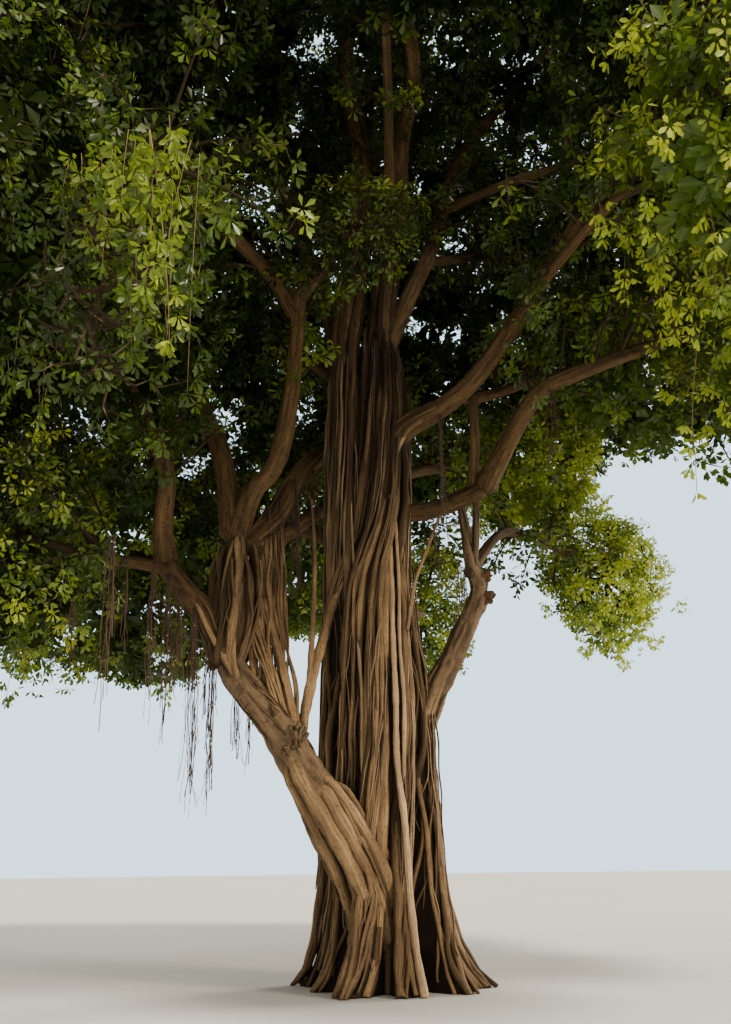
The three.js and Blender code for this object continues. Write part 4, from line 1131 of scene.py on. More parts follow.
def wavy_roots(tops, feet, thick, sway, seed, sides=5, steps=14):
    """Free aerial roots from top points to foot points. Each bows by a sine of its length, with a
    smaller faster wave, across its run, and it swells a little towards its foot."""
    source = np.random.default_rng(seed)
    tops = np.asarray(tops, float)
    feet = np.asarray(feet, float)
    share = np.linspace(0, 1, steps)[None, :, None]
    aside = source.uniform(-1, 1, (2, len(tops), 1, 3)) * (1, 1, 0.1)
    turns = source.uniform(1.5, 3.5, (len(tops), 1, 1))
    bow = np.sin(np.pi * share) * aside[0] + 0.35 * np.sin(2 * np.pi * turns * share) * aside[1]
    ends = mix(tops[:, None], feet[:, None], share)
    length = np.linalg.norm(tops - feet, axis=1)[:, None, None]
    paths = ends + sway * length * bow
    radii = np.asarray(thick, float).reshape(-1, 1) * mix(0.8, 1.15, share[..., 0])
    return tubes(paths, np.broadcast_to(radii, paths.shape[:2]), sides)


def hanging_hair(top, length, spread, count, thick, seed):
    """A tuft of hair-like roots: they part from one point, hang to their own lengths and fray
    into finer ones near their ends."""
    source = np.random.default_rng(seed)
    drop = length * source.uniform(0.3, 1.0, count)
    away = spread * source.normal(0, 1, (count, 2))
    feet = np.asarray(top) + np.column_stack([away, -drop])
    tops = np.asarray(top) + np.column_stack([away * 0.35, np.zeros(count)])
    radii = thick * source.uniform(0.5, 1.2, count)
    strands = wavy_roots(tops, feet, radii, 0.03, seed + 1, sides=3, steps=12)
    fray = mix(tops, feet, source.uniform(0.5, 0.95, (count, 1)))
    ends = fray + source.normal(0, 0.05, (count, 3)) - (0, 0, 0.25) * drop[:, None]
    return joined([strands, wavy_roots(fray, ends, 0.6 * radii, 0.05, seed + 2, sides=3, steps=6)])


def limb_way(name):
    """A limb's way points. One that bears a mass goes on to where it enters the mass's reach."""
    limb = LIMBS[name]
    if not limb.mass:
        return np.array(limb.way)
    last = np.array(limb.way[-1])
    centre, reach = space_of(limb.mass)
    share = np.linalg.norm((last - centre) / reach)
    entry = mix(centre, last, min(LIMB_END, share - LAST_STRETCH) / share)
    return np.vstack([limb.way, entry])


def bark_tube(way, radii, seed, rough, knots=(), dark_ends=PLAIN_DARK_ENDS, round_tip=True):
    """A stem or bough with its bark's relief: a tapering tube, flared where it springs from its
    parent, with lengthwise sinews, swellings, faint rings, and a bump of Gaussian form with a
    hollow in its middle at each knot."""
    length = np.linalg.norm(np.diff(np.asarray(way), axis=0), axis=1).sum()
    path = smooth_path(way, int(length / RING_SPACING) + 8)
    along = lengths_along(path)[:, None]
    angle = ring_angles(THICK_LIMB_SIDES if radii[0] > THICK_LIMB else LIMB_SIDES)[None]
    sway = np.random.default_rng(seed).uniform(0, 2 * np.pi, 3)
    wobble = 0.12 * radii[-1] * np.sin(along * (2.2, 3.1, 2.7) + sway)
    path = path + wobble * np.clip(along, 0, 1)
    radius = evenly(along / along[-1], 0, 1, radii)
    twist = angle + 0.7 * along
    place = along + 0 * angle
    sinew = SINEW_DEPTH * rough * ripples(twist, place, seed, 8, 3, 8, 1.2)
    swelling = SWELLING_DEPTH * rough * ripples(twist, place, seed + 1, 7, 1, 3, 5)
    lump = LUMP_DEPTH * (0.5 + rough) * ripples(twist, place, seed + 2, 9, 4, 11, 26)
    ring = RING_DEPTH * np.sin(52 * along + 2 * np.sin(angle) + 3 * np.sin(5 * along))
    spread = 1 + FOOT_SPREAD * np.exp(-along / (1.5 * radii[0]))
    reach = radius * spread * (1 + sinew + swelling + lump + ring)
    side, up = across(path)
    out = turned(angle, side[:, None], up[:, None])
    for at, towards, height, size in knots:
        facing = out @ unit(np.array(towards, float))
        apart = (along - at) ** 2 + 2 * radius**2 * (1 - facing)
        bump = height * np.exp(-apart / size**2)
        hollow = 1.1 * height * np.exp(-apart / (0.4 * size) ** 2)
        reach = reach + bump - hollow
    reach = reach * rounded_ends(along, radius, round_tip)
    # Painted shade: darker in the hollows of the relief, near the limb's foot and end where it meets its
    # neighbours, and on its upper side
    low_spots = np.clip(-6 * sinew - 4 * swelling - 12 * lump, 0, 0.6)
    dark = np.exp(-along / dark_ends[0]) + np.exp((along - along[-1]) / dark_ends[1])
    dirt = np.clip(low_spots + 0.6 * dark + 0.3 * out[..., 2], 0, 1)
    points = path[:, None] + reach[..., None] * out
    return grid_shape(points[None], along[:, 0][None], dirt)


def limb_shape(name, seed):
    """One of the limbs, with its own roughness, knots and ends painted dark as shade."""
    rough = ROUGH_LIMBS.get(name, PLAIN_ROUGHNESS)
    dark_ends = DARK_ENDS.get(name, PLAIN_DARK_ENDS)
    return bark_tube(*rooted_way(name), seed, rough, KNOTS.get(name, ()), dark_ends, not LIMBS[name].mass)


def rounded_ends(along, radius, at_tip=True):
    """Share of the radius left near a tube's ends: a quarter circle as long as the radius."""
    left = (along[-1] - along) / radius if at_tip else 1.0
    near = np.clip(np.minimum(along / radius, left), 0.0, 1.0)
    return np.sqrt(np.maximum(1 - (1 - near) ** 2, 0.01))


def splinters(foot, towards, reach, count, seed):
    """The torn end of a lost branch: short thick wisps of wood that fan out of one spot, each
    tapering to a blunt tip."""
    source = np.random.default_rng(seed)
    out = unit(unit(np.array(towards)) + source.normal(0, 0.4, (count, 3)))
    feet = np.array(foot) + source.normal(0, 0.03, (count, 3))
    length = reach * source.uniform(0.45, 1, (count, 1, 1))
    t = np.linspace(-0.3, 1, 6)[None, :, None]
    bend = source.normal(0, 0.25, (count, 1, 3)) * t * (1 - t)
    radii = source.uniform(0.018, 0.036, (count, 1)) * (1, 1.1, 1.1, 1.0, 0.9, 0.5)
    return tubes(feet[:, None] + length * (out[:, None] * t + bend), radii, 7, shade=0.15)


def root_fan(tops, feet, count, radii, sway, drift, seed):
    """Roots from a line of tops to a line of feet: each keeps about its own share of both lines,
    drifting along the feet, and most are thin."""
    share = hashed(np.arange(count) + seed)[:, None]
    aside = drift * (hashed(np.arange(count) + 3 * seed) - 0.5)[:, None]
    thick = mix(*radii, hashed(np.arange(count) + 60) ** 2)
    ends = mix(*np.array(tops), share), mix(*np.array(feet), np.clip(share + aside, 0, 1))
    return wavy_roots(*ends, thick, sway, seed, sides=7, steps=26)


def space_of(name):
    """The middle and the half-widths of a mass's space."""
    return np.array(MASSES[name][:2])


def share_of(points, name):
    """How far points are from a mass's middle, as a share of its reach."""
    centre, reach = space_of(name)
    return np.linalg.norm((points - centre) / reach, axis=-1)


def in_own_space(points, name, most=1.0):
    """Whether points lie inside a mass's reach and nearer to it than to any other mass."""
    own = share_of(points, name)
    others = np.min([share_of(points, other) for other in MASSES if other != name], axis=0)
    return (own <= most) & (own + SPACE_MARGIN < others)


def spiral(count):
    """Directions on a golden-angle spiral over a sphere: each turns on from the last one by the
    golden angle, and their heights are evenly spaced."""
    k = np.arange(count)
    z = 1 - (2 * k + 1) / count
    across_z = np.sqrt(1 - z * z)
    return np.stack([across_z * np.cos(k * GOLDEN_ANGLE), across_z * np.sin(k * GOLDEN_ANGLE), z], 1)


def grown_from(parents, headings, inward, tips, tip_shares, steps, sag):
    """Paths from the nearest parent point to each tip. A parent further out than the tip counts
    as further away. A path leaves along its parent's heading and arrives along its own chord: a
    cubic with its two handles on those lines, and it sags by a parabola."""
    apart = np.linalg.norm(tips[:, None] - parents[None], axis=-1)
    apart = apart + 4 * np.maximum(inward[None] - tip_shares[:, None] + 0.04, 0)
    chosen = np.argmin(apart, axis=1)
    start = parents[chosen]
    chord = tips - start
    reach = np.linalg.norm(chord, axis=1, keepdims=True)
    first = start + 0.38 * reach * unit(headings[chosen] + 0.6 * unit(chord))
    second = tips - 0.3 * reach * unit(chord + (0, 0, 0.25) * reach)
    t = np.linspace(0, 1, steps)[None, :, None]
    paths = (1 - t) ** 3 * start[:, None] + 3 * t * (1 - t) ** 2 * first[:, None]
    paths = paths + 3 * t**2 * (1 - t) * second[:, None] + t**3 * tips[:, None]
    paths[..., 2] -= sag * (4 * t * (1 - t))[..., 0] * reach
    return paths


def lobes(directions, name):
    """Share of its reach that a mass fills in each direction: the mean of some slow waves over
    the sphere gives its outline lobes and bays."""
    x, y, _ = MASSES[name].middle
    source = np.random.default_rng(int(1000 * abs(x + y)))
    ways = unit(source.normal(0, 1, (6, 3)))
    pitch = source.uniform(4, 8, 6)
    phase = source.uniform(0, 2 * np.pi, 6)
    waves = np.sin(directions @ ways.T * pitch + phase).sum(axis=1) / np.sqrt(6)
    return np.clip(0.94 + RAGGEDNESS.get(name, PLAIN_RAGGEDNESS) * waves, 0.6, 1.02)


def level_tips(name, level, count, shares):
    """Tips of one level of growth: spiral directions at varied shares of the reach, kept where
    they lie in the mass's own space."""
    centre, reach = space_of(name)
    numbers = np.arange(count) + 100 * abs(centre[0]) + level.turn
    jitter = np.stack([hashed(numbers + step) for step in (1, 2, 3)], axis=1) - 0.5
    directions = unit(spiral(count) + 0.25 * jitter)
    share = mix(*shares, hashed(numbers) ** 0.7) * lobes(directions, name)
    tips = centre + directions * reach * share[:, None]
    keep = in_own_space(tips, name)
    return tips[keep], share[keep]


def inner_points(paths, name, first):
    """Points on parent paths that growth may spring from, their headings and their shares."""
    points = paths[:, first:].reshape(-1, 3)
    headings = unit(np.gradient(paths, axis=1))[:, first:].reshape(-1, 3)
    return points, headings, share_of(points, name)


def sprung(parents, name, level, tips, shares):
    """Paths of one level of growth to its tips, from the level below it."""
    return grown_from(*inner_points(parents, name, level.first), tips, shares, level.steps, level.sag)


def grow(name, limb_name):
    """Growth of one mass: the bough runs on from the limb's end to the mass's middle, branches
    spring from it, boughlets from them, and leaf-bearing twigs from the boughlets."""
    centre, reach = space_of(name)
    way = limb_way(limb_name)
    end = way[-1]
    far = SPINE_REACH.get(name, PLAIN_SPINE)
    bends = [way[-2], end, mix(end, centre, 0.5 * far), mix(end, centre, far)]
    spine = smooth_path(bends, SPINE_STEPS)[None]
    tips, shares = level_tips(name, BRANCHES, BRANCHES.count, BRANCHES.shares)
    branches = sprung(spine, name, BRANCHES, tips, shares)
    tips, shares = level_tips(name, BOUGHLETS, BOUGHLETS.count, BOUGHLETS.shares)
    boughlets = sprung(branches, name, BOUGHLETS, tips, shares)
    area = 4 * np.pi * np.mean(reach) ** 2
    count = int(TWIGS.count * MASSES[name].density * area)
    tips, shares = level_tips(name, TWIGS, count, TWIG_SHARES.get(name, TWIGS.shares))
    ends = boughlets[:, -1]
    nearest = ends[np.argmin(np.linalg.norm(tips[:, None] - ends[None], axis=-1), axis=1)]
    tips = mix(tips, nearest, CLUMPING * hashed(np.arange(len(tips)) + 7)[:, None])
    tips, shares = clear_of_limbs(tips, shares)
    rough = PARED_ROUGHNESS * hashed(np.arange(len(tips)))
    keep = beyond_pared((tips - centre) / reach, name) < -rough
    tips, shares = tips[keep], shares[keep]
    twigs = sprung(boughlets, name, TWIGS, tips, shares)
    return spine, branches, boughlets, twigs, shares


def beyond_pared(local, name):
    """How far places stand out beyond a mass's pared sides; less than nothing inside of them."""
    beyond = [local @ np.array(way, float) - most for way, most in PARED.get(name, ())]
    return np.max(beyond, axis=0) if beyond else np.full(len(local), -1.0)


def gap_twigs(boughlets):
    """Loose twigs between masses, each grown from the nearest boughlet: their tips lie just
    outside of one mass and near a second one, at the back or steeply above the eye."""
    source = np.random.default_rng(71)
    tips = source.uniform(*GAP_CORNERS, (GAP_TRIES, 3))
    high = tips[:, 2] - EYE[2] > GAP_SLOPE * (tips[:, 1] - EYE[1])
    tips = tips[high | (tips[:, 1] > GAP_BACK)]
    shares = np.sort([share_of(tips, name) for name in MASSES if name not in LOOSE_MASSES], axis=0)
    tips = tips[(shares[0] > GAP_SHARES[0]) & (shares[1] < GAP_SHARES[1])]
    tips, _ = clear_of_limbs(tips, tips)
    ends = boughlets[:, -1]
    headings = unit(ends - boughlets[:, -2])
    inward, outward = np.zeros(len(ends)), np.ones(len(tips))
    return grown_from(ends, headings, inward, tips, outward, TWIGS.steps, TWIGS.sag)


def clear_of_limbs(tips, shares):
    """The tips that stay a leaf's length clear of the limbs' own bark."""
    apart = np.linalg.norm(tips[:, None] - LIMB_POINTS[None], axis=-1) - LIMB_RADII[None]
    keep = apart.min(axis=1) > LIMB_CLEARANCE
    return tips[keep], shares[keep]


def side_branches():
    """Branches off the boughs high in the crown, and the leafy shoots off each branch. A branch
    leaves its bough at about 50 degrees and arches over; a shoot runs on outwards and sags."""
    branches, shoots = [], []
    t = np.linspace(0, 1, 8)[None, :, None]
    u = np.linspace(0, 1, 4)[None, :, None]
    for number, (name, (first, count)) in enumerate(SIDE_BRANCHES.items()):
        source = np.random.default_rng(300 + number)
        path = smooth_path(limb_way(name), 60)
        k = source.integers(first, 59, count)
        heading = unit(np.gradient(path, axis=0))[k]
        aside = unit(np.cross(heading, source.normal(0, 1, (count, 3))))
        out = unit(0.7 * heading + aside + BRANCH_LEAN)
        reach = source.uniform(*BRANCH_LENGTHS, (count, 1, 1))
        arch = reach * (t - t * t) * (0, 0, 0.35)
        paths = path[k][:, None] + reach * out[:, None] * t + arch
        branches.append(paths)
        foot = source.integers(2, 8, (count, SHOOTS_ON_BRANCH))
        feet = np.take_along_axis(paths, foot[..., None], axis=1).reshape(-1, 3)
        away = unit(source.normal(0, 1, feet.shape) + 0.5 * np.repeat(out, SHOOTS_ON_BRANCH, axis=0))
        length = source.uniform(*SHOOT_LENGTHS, (len(feet), 1, 1))
        shoots.append(feet[:, None] + length * (away[:, None] * u - u * u * (0, 0, 0.2)))
    return np.concatenate(branches), np.concatenate(shoots)


def hanging_twigs(tops, drop, seed):
    """Twigs that hang from their tops to their own share of the longest drop. Each swings aside
    by a sine of its length."""
    source = np.random.default_rng(seed)
    length = drop * source.uniform(0.45, 1, (len(tops), 1, 1))
    t = np.linspace(0, 1, 8)[None, :, None]
    aside = source.normal(0, 0.06, (len(tops), 1, 3)) * (1, 1, 0)
    return tops[:, None] + length * (t * (0, 0, -1) + np.sin(2.5 * t) * aside)


def under_side(name, count):
    """Places spread evenly, on a golden-angle spiral, over the under side of a mass."""
    centre, reach = space_of(name)
    out = np.sqrt((np.arange(count) + 0.5) / count * 0.9)
    turn = np.arange(count) * GOLDEN_ANGLE
    flat = np.stack([out * np.cos(turn), out * np.sin(turn), -0.88 * np.sqrt(1 - out**2)], axis=1)
    flat[:, 2] += np.maximum(beyond_pared(flat, name) + 0.08, 0)
    tops = centre + reach * flat
    return tops[in_own_space(tops, name, 1.1)]


def front_sprays():
    """The tops of each row of bright sprays at the front left, its drop and its whorls."""
    for first, last, drop, count, places in FRONT_SPRAYS:
        source = np.random.default_rng(int(100 * drop))
        x = mix(first, last, (np.arange(count) + source.uniform(0.1, 0.9, count)) / count)
        depth = source.normal(*FRONT_SPRAY_DEPTH, count)
        height = source.normal(*FRONT_SPRAY_HEIGHT, count)
        yield np.stack([x, depth, height], axis=1), drop, places


def down_a_twig(places):
    """Whorl places spaced evenly down a hanging twig, the last one at its tip."""
    return tuple((step / places, 0.0 if step == places else 0.07) for step in range(places, 0, -1))


def whorls(twigs, middle, places):
    """Where whorls of leaves sit: at each twig's tip and off its sides. Gives their middles, the
    direction that each one faces, and the twig that it belongs to."""
    along = unit(np.gradient(twigs, axis=1))
    outward = unit(twigs[:, -1] - middle)
    middles, facing = [], []
    for place, aside in places:
        step = place * (twigs.shape[1] - 1)
        k = min(int(step), twigs.shape[1] - 2)
        spot = mix(twigs[:, k], twigs[:, k + 1], step - k)
        lean = unit(random.normal(0, 1, spot.shape))
        lean = unit(lean - along[:, k] * (lean * along[:, k]).sum(axis=1, keepdims=True))
        sideways = 0 if aside == 0 else 1
        middles.append(spot + aside * lean * random.uniform(0.6, 1.5, (len(spot), 1)))
        facing.append(unit(along[:, k] * 0.6 + outward * 0.7 + sideways * lean + (0, 0, 0.15)))
    owner = np.tile(np.arange(len(twigs)), len(places))
    return np.concatenate(middles), np.concatenate(facing), owner


def leaf_frames(middles, facing, count, droop):
    """Each whorl's leaves: they stand round its axis by equal turns, lean out from it by 48 to 86
    degrees and droop. Gives each leaf's foot, its direction, the direction across it and its
    upper side."""
    turn = 2 * np.pi * (np.arange(count)[None] / count + random.uniform(0, 1, (len(middles), 1)))
    turn = turn + random.normal(0, 0.18, turn.shape)
    tilt = np.radians(random.uniform(*LEAF_TILTS, turn.shape))
    helper = unit(np.cross(facing, (0.31, 0.2, 0.93)))
    out = turned(turn, helper[:, None], np.cross(facing, helper)[:, None])
    direction = turned(tilt, facing[:, None], out)
    direction[..., 2] -= droop * random.uniform(0.2, 1, turn.shape)
    direction = unit(direction)
    wide = unit(np.cross(direction, facing[:, None] + 0.001))
    feet = middles[:, None] + PETIOLE * direction
    return [part.reshape(-1, 3) for part in (feet, direction, wide, np.cross(wide, direction))]


def leaves_shape(feet, direction, wide, upper, lengths, blade):
    """Leaves as joined meshes: each outline point is the foot plus its place along the leaf, its
    place across it as a share of the half-width, and a lift that folds the blade along its rib.
    Their triangles fan out from the foot."""
    outline = np.array(blade.outline)
    along, aside, lift = outline[:, 0], outline[:, 1] * blade.half_width, outline[:, 2]
    size = lengths[:, None, None]
    points = feet[:, None] + size * (
        along[:, None] * direction[:, None]
        + aside[:, None] * wide[:, None]
        + lift[:, None] * upper[:, None]
    )
    triangles = np.array([(0, corner + 1, corner) for corner in range(1, len(outline) - 1)])
    first = np.arange(len(feet)) * len(outline)
    faces = (first[:, None, None] + triangles[None]).reshape(-1, 3)
    flat = np.stack([outline[:, 0], 0.5 + 0.5 * outline[:, 1]], axis=1)
    run = np.broadcast_to(flat[triangles], (len(feet),) + triangles.shape + (2,))
    points = points.reshape(-1, 3)
    return Shape(points, [faces], [run.reshape(-1, 3, 2)], np.zeros(len(points)))


def spikes(feet, tips, radius):
    """Twigs seen from afar: closed three-sided spikes, each with a ring of three points square to
    its chord at its foot and one point at its tip."""
    chord = unit(tips - feet)
    side = unit(np.cross(chord, (0.31, 0.2, 0.93)))
    ring = turned(ring_angles(3), side[:, None], np.cross(chord, side)[:, None])
    points = np.concatenate([feet[:, None] + radius * ring, tips[:, None]], axis=1).reshape(-1, 3)
    corners = np.array([(0, 1, 3), (1, 2, 3), (2, 0, 3), (0, 2, 1)])
    faces = (4 * np.arange(len(feet))[:, None, None] + corners).reshape(-1, 3)
    turn = np.array([(0, 0), (1 / 3, 0), (2 / 3, 0), (0.5, 0.3)])
    run = np.broadcast_to(turn[corners], (len(feet), 4, 3, 2)).reshape(-1, 3, 2)
    return Shape(points, [faces], [run], np.zeros(len(points)))


def add_trunk():
    """The trunk: two cores painted dark as the shade between the roots, the aerial roots fused to
    them, and the prop root.
    """
    axis = TRUNK_AXIS, trunk_surface
    left = LEFT_COLUMN_WAY, left_column_surface
    core = [
        column_core(*axis, share=0.95, sides=90, steps=130, seed=1),
        column_core(*left, share=0.9, sides=36, steps=80, seed=2),
    ]
    thick = [column_strands(*axis, row) for row in TRUNK_STRANDS]
    thick.append(column_strands(*left, LEFT_COLUMN_STRANDS[0]))
    fine = [column_strands(*axis, row) for row in TRUNK_FINE_STRANDS]
    fine.append(column_strands(*left, LEFT_COLUMN_STRANDS[1]))
    for name, shape, finish in (
        ("trunk_core", joined(core), "trunk_recess_shade"),
        ("trunk_roots", joined(thick), "aerial_root_bark"),
        ("trunk_fine_roots", joined(fine), "fine_root_bark"),
        ("trunk_tan_roots", through_points(TAN_ROOTS, 90, 10), "tan_root_bark"),
        ("prop_root", through_points(PROP_ROOT, 50, 12), "aerial_root_bark"),
    ):
        make_piece(name, shape, BARKS[finish], ["trunk"])


def through_points(rows, steps, sides):
    """Roots through the points of each row, with radii that change evenly from end to end."""
    shapes = []
    for way, first, last in rows:
        path = smooth_path(way, steps)
        along = lengths_along(path)
        swell = 1 + 0.09 * np.sin(9 * along + 7 * way[0][0]) + 0.06 * np.sin(23 * along)
        shapes.append(tubes(path, np.linspace(first, last, steps) * swell, sides))
    return joined(shapes)


def add_limbs():
    """Every stem and bough, each with its own bark, and the aerial roots that cling to them."""
    for seed, name in enumerate(LIMBS):
        if name != "left_root_bundle":
            finish = BARKS[STEM_FINISHES.get(name, "bough_bark")]
            make_piece("bark_" + name, limb_shape(name, 40 + seed), finish, [name])
    arm = bark_tube(RIGHT_ARM, RIGHT_ARM_RADIUS, 90, rough=1.2, dark_ends=(0.4, 1.2))
    stubs = joined([splinters(*row, 95 + k) for k, row in enumerate(TORN_STUBS)])
    foot = joined([splinters(*row, 85 + k) for k, row in enumerate(TORN_FOOT)])
    for name, shape, finish, limb in (
        ("right_stem_arm", arm, "right_stem_bark", "right_stem"),
        ("right_stem_stubs", stubs, "torn_bark", "right_stem"),
        ("left_stem_torn_foot", foot, "left_stem_bark", "left_stem"),
    ):
        make_piece(name, shape, BARKS[finish], [limb])
    for name, rows in LIMB_STRANDS.items():
        strands = joined([limb_strands(name, row) for row in rows])
        finish = BARKS["bough_bark" if name in ROOTED_LEADERS else "aerial_root_bark"]
        make_piece("clinging_roots_" + name, strands, finish, [name])


def add_roots():
    """The bundle and the curtain of roots on the leaning stem, lone roots, and hanging tufts."""
    way = LIMBS["left_root_bundle"].way
    bundle = [column_core(way, bundle_surface, share=0.85, sides=30, steps=40, seed=11)]
    bundle += [column_strands(way, bundle_surface, row) for row in BUNDLE_STRANDS]
    curtain = root_fan(CURTAIN_TOP, CURTAIN_FOOT, CURTAIN_ROOTS, (0.006, 0.03), 0.028, 0.14, seed=12)
    fan = root_fan(FAN_TOP, FAN_FOOT, FAN_ROOTS, (0.015, 0.045), 0.03, 0.5, seed=5)
    hair = [hanging_hair(*row, 70 + k) for k, row in enumerate(HAIR_TUFTS)]
    for name, shape, finish, replaced in (
        ("root_bundle", joined(bundle), "aerial_root_bark", "left_root_bundle"),
        ("curtain_roots", joined([curtain, fan]), "aerial_root_bark", "root_curtain"),
        ("lone_roots", through_points(LONE_ROOTS, 44, 8), "aerial_root_bark", "root_curtain"),
        ("hanging_roots", joined(hair), "hanging_root_bark", "root_curtain"),
    ):
        make_piece(name, shape, BARKS[finish], [replaced])


def tones_of(name, twigs, shares):
    """The tone of each spray, its painted light from 0, deep, to 1, lime: the mass's own, brighter
    further out and where the spray faces the key light, with some chance."""
    mass = MASSES[name]
    lit = unit(twigs[:, -1] - mass.middle) @ -unit(np.array(KEY_DIRECTION))
    chance = random.normal(0, TONE_CHANCE, len(twigs))
    return mass.tone + TONE_OUTWARD * (shares - 0.8) + TONE_LIT * lit + chance


def add_sprays(leaves, whorled, tones, length, blade, droop=DROOP, own=None):
    """Adds the leaves of some whorls to the shapes of each tone. Leaves whose tips leave their
    mass's own space are left out."""
    middles, facing, owner = whorled
    kinds = np.digitize(tones, TONE_STEPS)[owner]
    for kind, shapes in enumerate(leaves):
        mine = kinds == kind
        frames = leaf_frames(middles[mine], facing[mine], blade.leaves, droop)
        lengths = length * random.uniform(*LEAF_SIZES, len(frames[0]))
        if own:
            tips = frames[0] + frames[1] * lengths[:, None]
            inside = in_own_space(tips, own, 1.03) | (share_of(tips, own) < 0.97)
            frames = [part[inside] for part in frames]
            lengths = lengths[inside]
        shapes.append(leaves_shape(*frames, lengths, blade))


def add_inner_leaves(crown, name, boughlets, twigs):
    """Adds the large leaves of the whorls that sit deep inside a mass, clear of its pared sides.
    A sunlit mass's have a finish of its own sprays, and the others' are the darkest, near-black
    as painted shade."""
    mass = MASSES[name]
    centre, reach = space_of(name)
    lighter = crown.leaves[np.searchsorted(TONE_STEPS, mass.tone - INNER_SHADE)]
    shapes = lighter if mass.tone >= SUNLIT_TONE else crown.innermost
    inside = whorls(boughlets, centre, WHORLS_ON_BOUGHLET)
    forks = whorls(twigs[::2], centre, WHORLS_AT_FORK)
    for middles, facing, _ in (inside, forks):
        deep = share_of(middles, name) < INNERMOST
        deep &= beyond_pared((middles - centre) / reach, name) < -INNER_MARGIN
        frames = leaf_frames(middles[deep], facing[deep], BROAD_BLADE.leaves, INNER_DROOP)
        lengths = INNER_LEAF * mass.leaf * random.uniform(*LEAF_SIZES, len(frames[0]))
        shapes.append(leaves_shape(*frames, lengths, BROAD_BLADE))


def add_hanging(crown, twigs, middle, places, tones, length, blade, droop, thick, sides=3):
    """Adds twigs that hang down, thinning from their tops to their tips, and their sprays."""
    crown.hanging.append(tubes(twigs, along_taper(twigs, *thick), sides))
    add_sprays(crown.leaves, whorls(twigs, middle, places), tones, length, blade, droop)


def add_shoots(crown, shoots, radius, tones, places, length, blade):
    """Adds leafy shoots whose tones are spread evenly over a range."""
    crown.twigs.append(spikes(shoots[:, 0], shoots[:, -1], radius))
    tones = random.uniform(*tones, len(shoots))
    add_sprays(crown.leaves, whorls(shoots, shoots[:, 0], places), tones, length, blade)


def add_mass(crown, name, bough, seed):
    """Adds the boughs, twigs and leaves of one mass and the sprays that hang from it. Gives its
    boughlets."""
    mass = MASSES[name]
    spine, branches, boughlets, twigs, shares = grow(name, bough)
    thick = LIMBS[bough].radius[-1]
    crown.boughs.append(tubes(spine, along_taper(spine, thick, 0.35 * thick), 8))
    crown.boughs.append(tubes(branches, along_taper(branches, 0.45 * thick + 0.012, 0.02), 6))
    crown.boughs.append(tubes(boughlets, along_taper(boughlets, *BOUGHLET_RADII), 4))
    crown.twigs.append(spikes(twigs[:, 0], twigs[:, -1], TWIG_RADIUS))
    blade = NEAR_BLADE if name in NEAR_MASSES else SLIM_BLADE if mass.leaf < FAR_LEAF else BROAD_BLADE
    tones = tones_of(name, twigs, shares)
    add_sprays(crown.leaves, whorls(twigs, mass.middle, WHORLS_ON_TWIG), tones, mass.leaf, blade, own=name)
    if name not in OPEN_MASSES:
        add_inner_leaves(crown, name, boughlets, twigs)
    if name in HANGING_SPRAYS:
        count, drop = HANGING_SPRAYS[name]
        drooping = hanging_twigs(under_side(name, count), drop, 500 + seed)
        tones = mass.tone + HANGING_TONE_LIFT + random.normal(0, 0.14, len(drooping))
        leaf_kind = min(mass.leaf, LONGEST_HANGING_LEAF), NEAR_BLADE, HANGING_DROOP
        add_hanging(crown, drooping, mass.middle, down_a_twig(6), tones, *leaf_kind, (0.004, 0.003))
    return boughlets


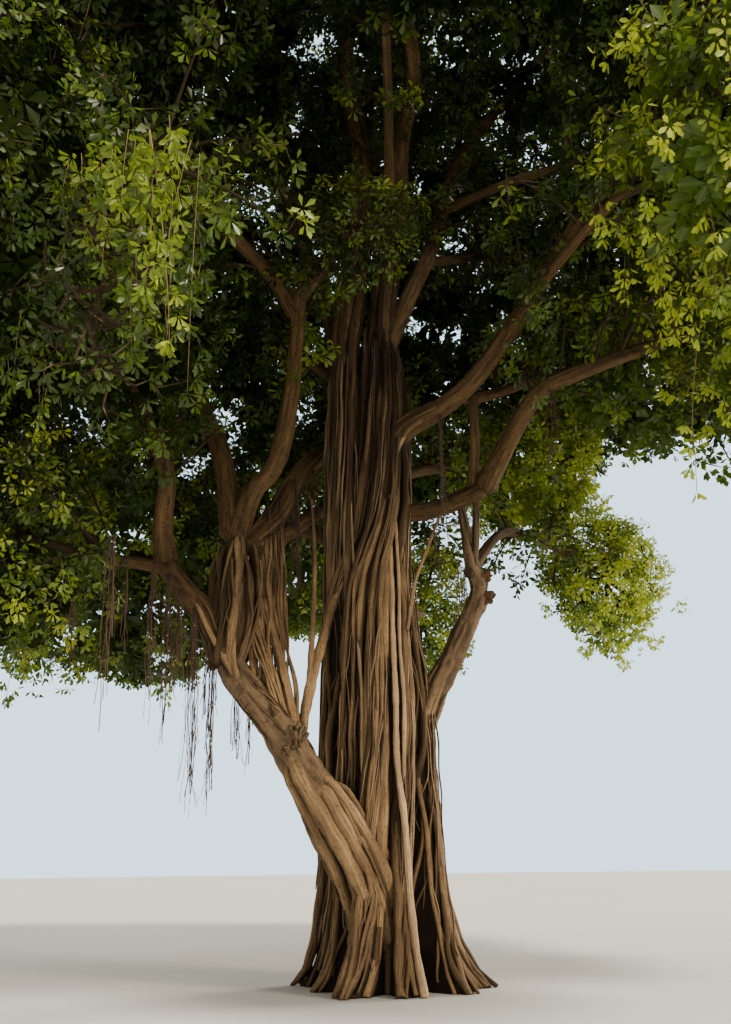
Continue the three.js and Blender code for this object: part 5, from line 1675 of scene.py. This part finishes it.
def add_crown():
    """Boughs and twigs inside the leaf masses, and the leaves in pieces of one tone each."""
    bearing = {limb.mass: name for name, limb in LIMBS.items() if limb.mass}
    crown = Crown([], [], [], [], [[] for _ in LEAF_FINISHES[1:]])
    boughlets = [add_mass(crown, name, bearing[name], seed) for seed, name in enumerate(MASSES)]
    leaf_kind = SPRAY_LEAF, FINE_BLADE, FRONT_DROOP
    for tops, drop, places in front_sprays():
        drooping = hanging_twigs(tops, drop, 900 + places)
        tones = random.normal(FRONT_TONE, 0.15, len(drooping))
        middle = tops.mean(axis=0)
        add_hanging(crown, drooping, middle, down_a_twig(places), tones, *leaf_kind, HANGING_RADII)
    lone = np.array([smooth_path(way, 8) for way in LONE_SPRAYS])
    middle = lone.mean(axis=(0, 1))
    tones = np.full(len(lone), LONE_TONE)
    add_hanging(crown, lone, middle, down_a_twig(10)[:4], tones, *leaf_kind, (0.007, 0.004), sides=5)
    sides, shoots = side_branches()
    crown.boughs.append(tubes(sides, along_taper(sides, *SIDE_BRANCH_RADII), 5))
    add_shoots(crown, shoots, SHOOT_RADIUS, SHOOT_TONES, WHORLS_ON_SHOOT, SHOOT_LEAF, SLIM_BLADE)
    loose = gap_twigs(np.concatenate(boughlets))
    add_shoots(crown, loose, TWIG_RADIUS, GAP_TONES, WHORLS_ON_SHOOT[:3], GAP_LEAF, BROAD_BLADE)
    for name, shapes, finish in (
        ("inner_boughs", crown.boughs, "inner_bough_bark"),
        ("twigs", crown.twigs, "twig_bark"),
        ("hanging_twigs", crown.hanging, "hanging_twig_bark"),
    ):
        make_piece(name, joined(shapes), BARKS[finish], list(MASSES))
    for finish, shapes in zip(LEAF_FINISHES, [crown.innermost] + crown.leaves):
        for number, batch in enumerate(batches(shapes), 1):
            make_piece(f"{finish.name}_{number}", joined(batch), finish, list(MASSES))


def batches(shapes):
    """Shapes in groups that each stay under the most triangles of a piece."""
    groups, size = [[]], 0
    for shape in shapes:
        count = len(shape.faces[0])
        if size + count > MOST_TRIANGLES:
            groups.append([])
            size = 0
        groups[-1].append(shape)
        size += count
    return groups


def along_taper(paths, first, last):
    """Radii that fall evenly from the first to the last along every path."""
    return np.broadcast_to(np.linspace(first, last, paths.shape[1]), paths.shape[:2])


BARK_GRAIN = bark_group()
LEAF_BLADE = leaf_group()
BARKS = {name: bark(name, *row) for name, row in BARK_ROWS.items()}
LEAF_FINISHES = [leaf(name, *row) for name, row in LEAF_ROWS.items()]

LIMB_POINTS = np.vstack([smooth_path(limb_way(name), LIMB_SAMPLES) for name in LIMBS])
LIMB_RADII = np.concatenate(
    [evenly(np.linspace(0, 1, LIMB_SAMPLES), 0, 1, limb.radius) for limb in LIMBS.values()]
)

add_camera()
add_studio()
add_trunk()
add_limbs()
add_roots()
add_crown()
